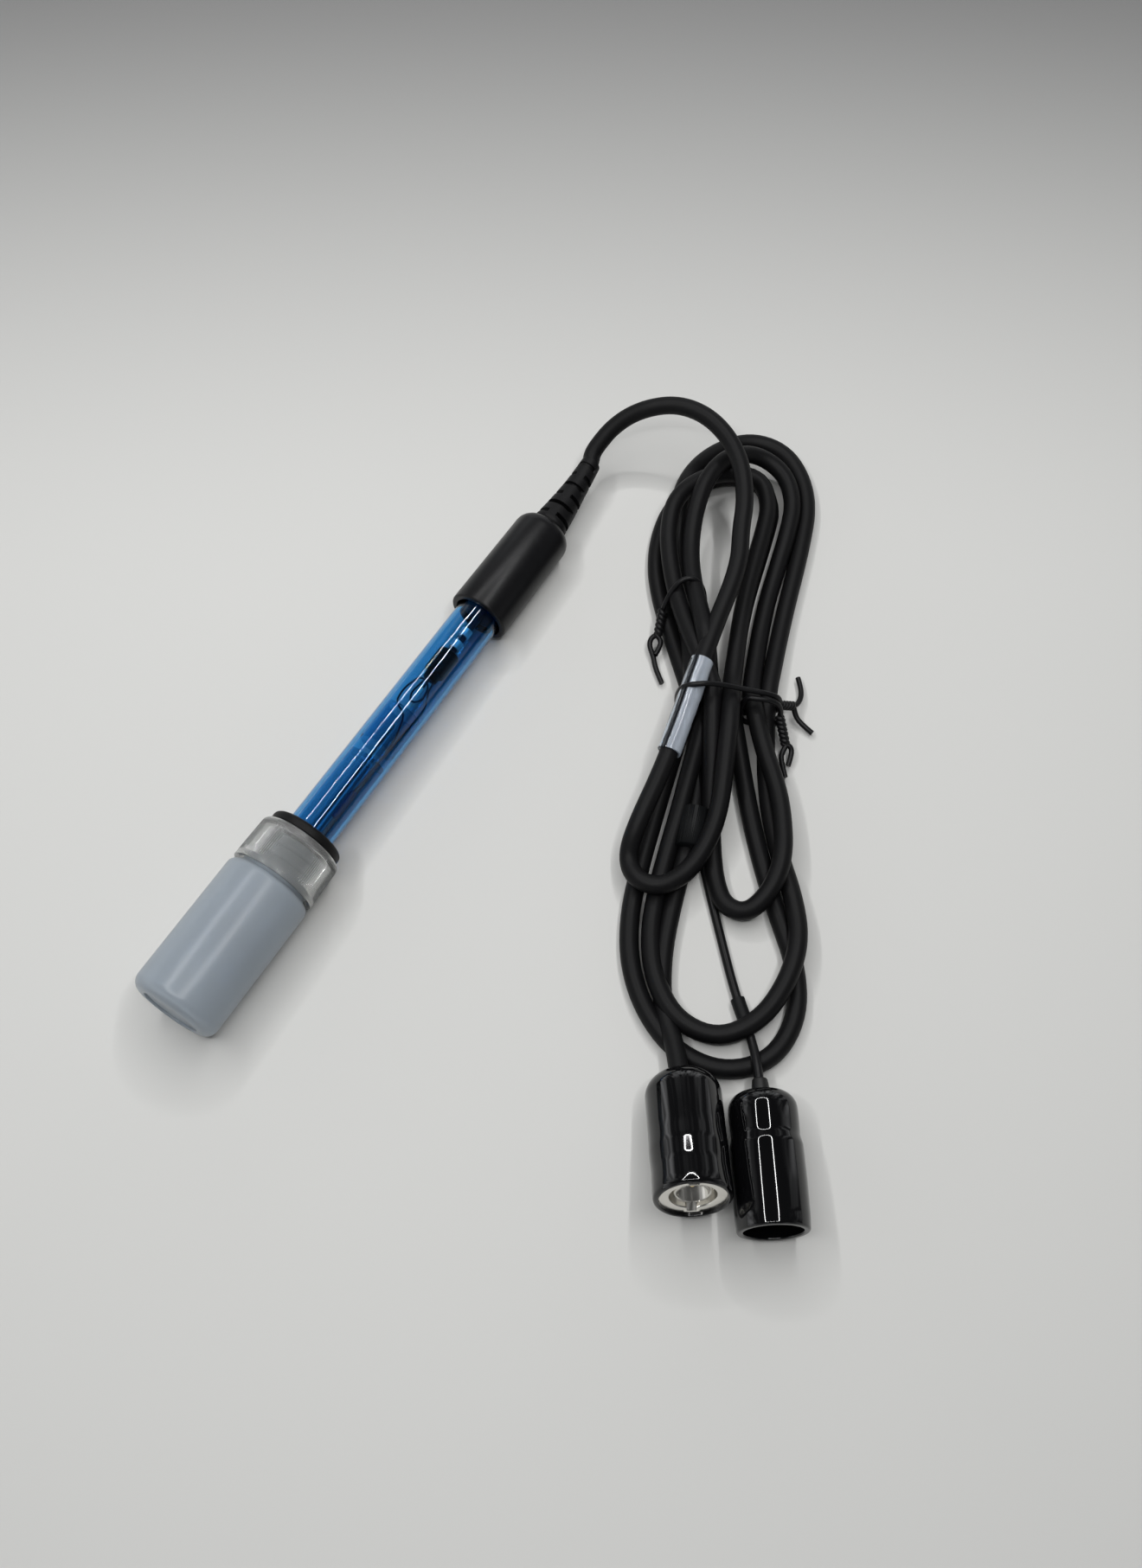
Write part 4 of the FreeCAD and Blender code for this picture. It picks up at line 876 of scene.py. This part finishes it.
# %% The film in the label sleeve
nodes, links = SLEEVE.node_tree.nodes, SLEEVE.node_tree.links
turn = nodes.new("ShaderNodeAttribute")
turn.attribute_name = "turn"
film = nodes.new("ShaderNodeValToRGB")
film.color_ramp.elements[0].position = 0.19
film.color_ramp.elements[0].color = (0, 0, 0, 1)
film.color_ramp.elements[1].position = 0.22
film.color_ramp.elements[1].color = (1, 1, 1, 1)
for position, shade in ((0.30, 0.75), (0.34, 1.0), (0.62, 1.0), (0.65, 0.0)):
    film.color_ramp.elements.new(position).color = (shade, shade, shade, 1)
links.new(turn.outputs["Fac"], film.inputs["Fac"])
clear = ranged(SLEEVE.node_tree, film.outputs["Color"], target=(1.0, 0.55))
links.new(clear, nodes["Principled BSDF"].inputs["Transmission Weight"])
print("the film covers turns 0.2 to 0.65")

# %% Label sleeve and the thin lead's sleeve
cable_line = centreline(cable)
LABEL = 26.5
LABEL_R, LABEL_BORE_R = 2.95, 2.42
LABEL_WOBBLE = 0.06
label_middle = HANK @ Vector((-12.1, -9.5, 14.0))
label = sleeve_along(
    "Label_Sleeve", stretch(cable_line, label_middle, LABEL * MM), LABEL_R * MM, LABEL_BORE_R * MM, SLEEVE,
    wobble=LABEL_WOBBLE * MM,
)
settle(label, "electrode", "clear_sleeve", "label_sleeve")
thin_line = centreline(thin_lead)
THIN_SLEEVE_R, THIN_SLEEVE_BORE_R = 1.7, 1.15
THIN_SLEEVE_SHARE = 0.7
sleeve_from, sleeve_to = thin_points[3], thin_points[4]
thin_sleeve_length = (sleeve_to - sleeve_from).length * THIN_SLEEVE_SHARE
thin_sleeve = sleeve_along(
    "Thin_Sleeve", stretch(thin_line, (sleeve_from + sleeve_to) / 2, thin_sleeve_length),
    THIN_SLEEVE_R * MM, THIN_SLEEVE_BORE_R * MM, SHRINK, segments=32,
)
settle(thin_sleeve, "electrode", "black_shrink", "temperature_sleeve")

# %% [markdown]
# ## Twist ties
#
# Each tie is a coated wire round the bundle. Its two ends are twisted round each other for a few turns
# and then bent away. The twist is two spirals about one line, half a turn apart, and each spiral runs
# on into a loose end, so a tie is one loop and two wires.

# %% Twist ties
TIE_R = 0.7
TWIST_R = 0.62
TIES = [
    (
        "Tie_Waist", "tie_waist",
        [(12.3, -3.7, 6.6), (12.3, -3.6, 10.0), (8.0, -3.4, 12.2), (1.9, -2.9, 13.6), (-4.2, -2.9, 16.2),
         (-8.6, -3.8, 18.0), (-12.4, -3.6, 16.6), (-13.9, -3.0, 12.0), (-13.6, -2.7, 5.0), (-12.6, -2.6, 1.4),
         (-9.0, -2.6, 0.75), (8.0, -3.2, 0.75), (11.8, -3.5, 1.6), (12.6, -3.7, 5.4)],
        ((12.2, -3.7, 6.2), (16.2, -2.7, 3.8)), 2.5,
        [[(17.2, -2.1, 3.0), (18.6, 0.4, 2.2), (18.9, 3.4, 1.8), (18.3, 6.6, 1.6)],
         [(16.6, -4.4, 3.0), (17.6, -6.4, 2.0), (21.0, -9.2, 1.2)]],
    ),
    (
        "Tie_Waist_Lower", "tie_waist_lower",
        [(12.3, -6.9, 6.4), (12.4, -5.8, 9.0), (9.8, -5.2, 11.6), (5.5, -5.0, 12.2), (4.0, -4.6, 12.0),
         (2.7, -4.6, 10.2), (2.5, -4.8, 5.0), (2.8, -5.2, 1.4), (4.6, -5.8, 0.75), (8.0, -6.6, 0.75),
         (12.0, -7.2, 1.6), (12.6, -7.0, 5.4)],
        ((12.2, -7.0, 6.2), (13.6, -13.1, 3.2)), 3.0,
        [[(15.0, -13.6, 3.0), (15.3, -15.6, 2.0), (14.2, -18.4, 1.5)],
         [(12.9, -15.0, 2.5), (12.3, -16.8, 2.0), (13.3, -21.6, 1.4)]],
    ),
    (
        "Tie_Upper", "tie_upper",
        [(-16.4, 24.6, 6.2), (-15.4, 26.2, 9.6), (-12.6, 28.6, 13.4), (-9.4, 29.4, 14.2), (-6.6, 28.4, 12.0),
         (-5.4, 26.6, 7.0), (-5.6, 26.0, 2.0), (-8.0, 26.0, 0.75), (-13.4, 25.2, 0.75), (-15.6, 24.6, 1.6),
         (-16.6, 24.2, 5.2)],
        ((-16.6, 24.2, 6.0), (-17.8, 18.2, 4.0)), 2.5,
        [[(-19.2, 18.2, 3.2), (-20.2, 16.2, 2.4), (-19.0, 12.9, 1.8), (-18.6, 9.6, 1.4), (-17.0, 5.3, 1.2)],
         [(-17.0, 17.0, 3.2), (-17.4, 15.0, 2.6), (-18.6, 13.0, 2.4)]],
    ),
]


def spiral(start, end, turns, radius, phase):
    """Points of a spiral about the line from start to end."""
    way = end - start
    side = way.cross(Vector((0, 0, 1))).normalized()
    up = side.cross(way).normalized()
    points = []
    steps = int(turns * 8)
    for i in range(steps + 1):
        angle = phase + 2 * math.pi * turns * i / steps
        points.append(start + way * i / steps + (side * math.cos(angle) + up * math.sin(angle)) * radius)
    return points


def as_one_mesh(name, curves, material):
    """Turn curve pieces into one plain mesh."""
    build = bmesh.new()
    for curve in curves:
        mesh = bpy.data.meshes.new_from_object(curve)
        build.from_mesh(mesh)
        bpy.data.meshes.remove(mesh)
        data = curve.data
        bpy.data.objects.remove(curve)
        bpy.data.curves.remove(data)
    bmesh.ops.remove_doubles(build, verts=build.verts, dist=1e-7)
    bmesh.ops.recalc_face_normals(build, faces=build.faces)
    mesh = bpy.data.meshes.new(name)
    build.to_mesh(mesh)
    build.free()
    smooth(mesh, 50)
    return new_piece(name, mesh, material)


for name, node, loop, twist, turns, ends in TIES:
    start, end = (Vector(p) for p in twist)
    wires = [[Vector(p) for p in loop]]
    for phase, loose in ((0.0, ends[0]), (math.pi, ends[1])):
        wires.append(spiral(start, end, turns, TWIST_R, phase) + [Vector(p) for p in loose])
    curves = []
    for wire in wires:
        points = [HANK @ point for point in wire]
        curves.append(line(name + "_wire", points, TIE_R * MM, TIE, resolution=4, around=3))
    tie = as_one_mesh(name, curves, TIE)
    settle(tie, "electrode", "tie_black", node)

# %% [markdown]
# ## The cords
#
# The two cords hang on the electrode's body, and the solids that they stand for are hidden.

# %% Cords
settle(cable, "electrode", "cable_jacket", "cable_lead", "cable_hank", "bnc_lead")
settle(thin_lead, "electrode", "thin_jacket", "temperature_lead")

# %% [markdown]
# ## Floor
#
# The object lay on a pale sheet that is less lit towards its far edge. Here it is
# one large square. Its grey is written as it should appear, and a smooth ramp along the camera's
# heading darkens the far part: painted shade that stands in for that falloff of the light.

# %% Floor
floor_mesh = bpy.data.meshes.new("Floor")
FLOOR_HALF = 1.5
SHADE_FROM, SHADE_TO = 0.03, 0.36
floor_corners = [(x * FLOOR_HALF, y * FLOOR_HALF, 0) for x, y in ((-1, -1), (1, -1), (1, 1), (-1, 1))]
floor_mesh.from_pydata(floor_corners, [], [(0, 1, 2, 3)])
FLOOR = bpy.data.materials.new("Floor")
FLOOR.use_nodes = True
nodes, links = FLOOR.node_tree.nodes, FLOOR.node_tree.links
ahead = seen_from(FLOOR.node_tree, Vector(HANK_PLACE) * MM, (0, 0, HANK_TURN))["Y"]
# Painted shade: the far part of the floor is darkened in its colour, standing in for the overhead light
# falling off.
painted_falloff = ranged(FLOOR.node_tree, ahead, (SHADE_FROM, SHADE_TO), soft=True)
painted_shade_ramp = nodes.new("ShaderNodeValToRGB")
painted_shade_ramp.color_ramp.elements[0].color = (0.60, 0.60, 0.585, 1)
painted_shade_ramp.color_ramp.elements[1].color = (0.15, 0.15, 0.152, 1)
links.new(painted_falloff, painted_shade_ramp.inputs["Fac"])
links.new(painted_shade_ramp.outputs["Color"], nodes["Principled BSDF"].inputs["Base Color"])
nodes["Principled BSDF"].inputs["Roughness"].default_value = 0.8
nodes["Principled BSDF"].inputs["Specular IOR Level"].default_value = 0.2
floor = new_piece("Floor", floor_mesh, FLOOR)
print("floor", 2 * FLOOR_HALF, "m square")

# %% [markdown]
# ## Light
#
# The lamp is a frame of thin tubes overhead. It can't be seen, but the boots show it: every thin pale
# outline on them is that frame, bent by the rubber. Short strips in a rounded frame do the same. The
# room round it is dark overhead and paler towards the walls, in soft upright bands, and those are the
# streaks down the boots' sides. A world shader reads the direction as its Generated coordinates. The
# camera itself sees a plain pale backdrop in place of the bands.

# %% World
world = bpy.data.worlds.new("World")
bpy.context.scene.world = world
world.use_nodes = True
nodes, links = world.node_tree.nodes, world.node_tree.links
direction = nodes.new("ShaderNodeTexCoord").outputs["Generated"]
flatten = nodes.new("ShaderNodeMapping")
flatten.inputs["Scale"].default_value = (1, 1, 0.12)
links.new(direction, flatten.inputs["Vector"])
bands = nodes.new("ShaderNodeTexNoise")
bands.inputs["Scale"].default_value = 6.5
bands.inputs["Detail"].default_value = 2.0
links.new(flatten.outputs["Vector"], bands.inputs["Vector"])
walls = ranged(world.node_tree, bands.outputs["Fac"], (0.42, 0.64), (0.05, 1.6))
parts = nodes.new("ShaderNodeSeparateXYZ")
links.new(direction, parts.inputs["Vector"])
rise = ranged(world.node_tree, parts.outputs["Z"], (0.05, 0.75), (1.0, 0.0), soft=True)
window = ranged(world.node_tree, parts.outputs["X"], (-1.0, 1.0), (1.5, 0.5))
sides = nodes.new("ShaderNodeMath")
sides.operation = "MULTIPLY"
links.new(walls, sides.inputs[0])
links.new(window, sides.inputs[1])
glow = nodes.new("ShaderNodeMath")
glow.operation = "MULTIPLY_ADD"
links.new(sides.outputs["Value"], glow.inputs[0])
links.new(rise, glow.inputs[1])
glow.inputs[2].default_value = 0.05
backdrop = nodes.new("ShaderNodeMix")
backdrop.data_type = "FLOAT"
links.new(nodes.new("ShaderNodeLightPath").outputs["Is Camera Ray"], backdrop.inputs[0])
links.new(glow.outputs["Value"], backdrop.inputs[2])
backdrop.inputs[3].default_value = 0.6
links.new(backdrop.outputs[0], nodes["Background"].inputs["Strength"])
nodes["Background"].inputs["Color"].default_value = (0.97, 0.985, 1.0, 1)
bpy.context.scene.view_settings.view_transform = "Standard"
print("world:", len(nodes), "nodes")


# %% Lamps
def strip_light(name, start, end, width, power):
    """A thin lamp from start to end that shines down."""
    data = bpy.data.lights.new(name, "AREA")
    data.shape = "RECTANGLE"
    data.size = (end - start).length
    data.size_y = width
    data.energy = power
    lamp = bpy.data.objects.new(name, data)
    bpy.context.scene.collection.objects.link(lamp)
    lamp.location = (start + end) / 2
    lamp.rotation_euler = (0, 0, math.atan2(end.y - start.y, end.x - start.x))
    return lamp


LIGHT_HEIGHT = 500.0
LIGHT_WIDTH = 14.0
LIGHT_POWER = 3.8
LIGHT_LEFT, LIGHT_RIGHT = -288.0, 112.0
LIGHT_NEAR, LIGHT_FAR = -190.0, 343.0
LIGHT_ROUND = 150.0
frame_places = []
for side, (across, along) in enumerate(
    ((LIGHT_RIGHT, LIGHT_FAR), (LIGHT_LEFT, LIGHT_FAR), (LIGHT_LEFT, LIGHT_NEAR), (LIGHT_RIGHT, LIGHT_NEAR))
):
    inwards = Vector((-1 if across > 0 else 1, -1 if along > 0 else 1))
    middle = Vector((across, along)) + inwards * LIGHT_ROUND
    for step in range(5):
        angle = math.pi / 2 * (side + step / 4)
        spot = middle + Vector((math.cos(angle), math.sin(angle))) * LIGHT_ROUND
        frame_places.append(HANK @ Vector((spot.x, spot.y, LIGHT_HEIGHT)))
frame_length = sum((b - a).length for a, b in zip(frame_places, frame_places[1:] + frame_places[:1]))
for i, start in enumerate(frame_places):
    end = frame_places[(i + 1) % len(frame_places)]
    share = (end - start).length / frame_length
    strip_light(f"Strip_{i}", start, end, LIGHT_WIDTH * MM, LIGHT_POWER * share)
print(len(frame_places), "lamps in a frame", round(frame_length, 2), "m round")
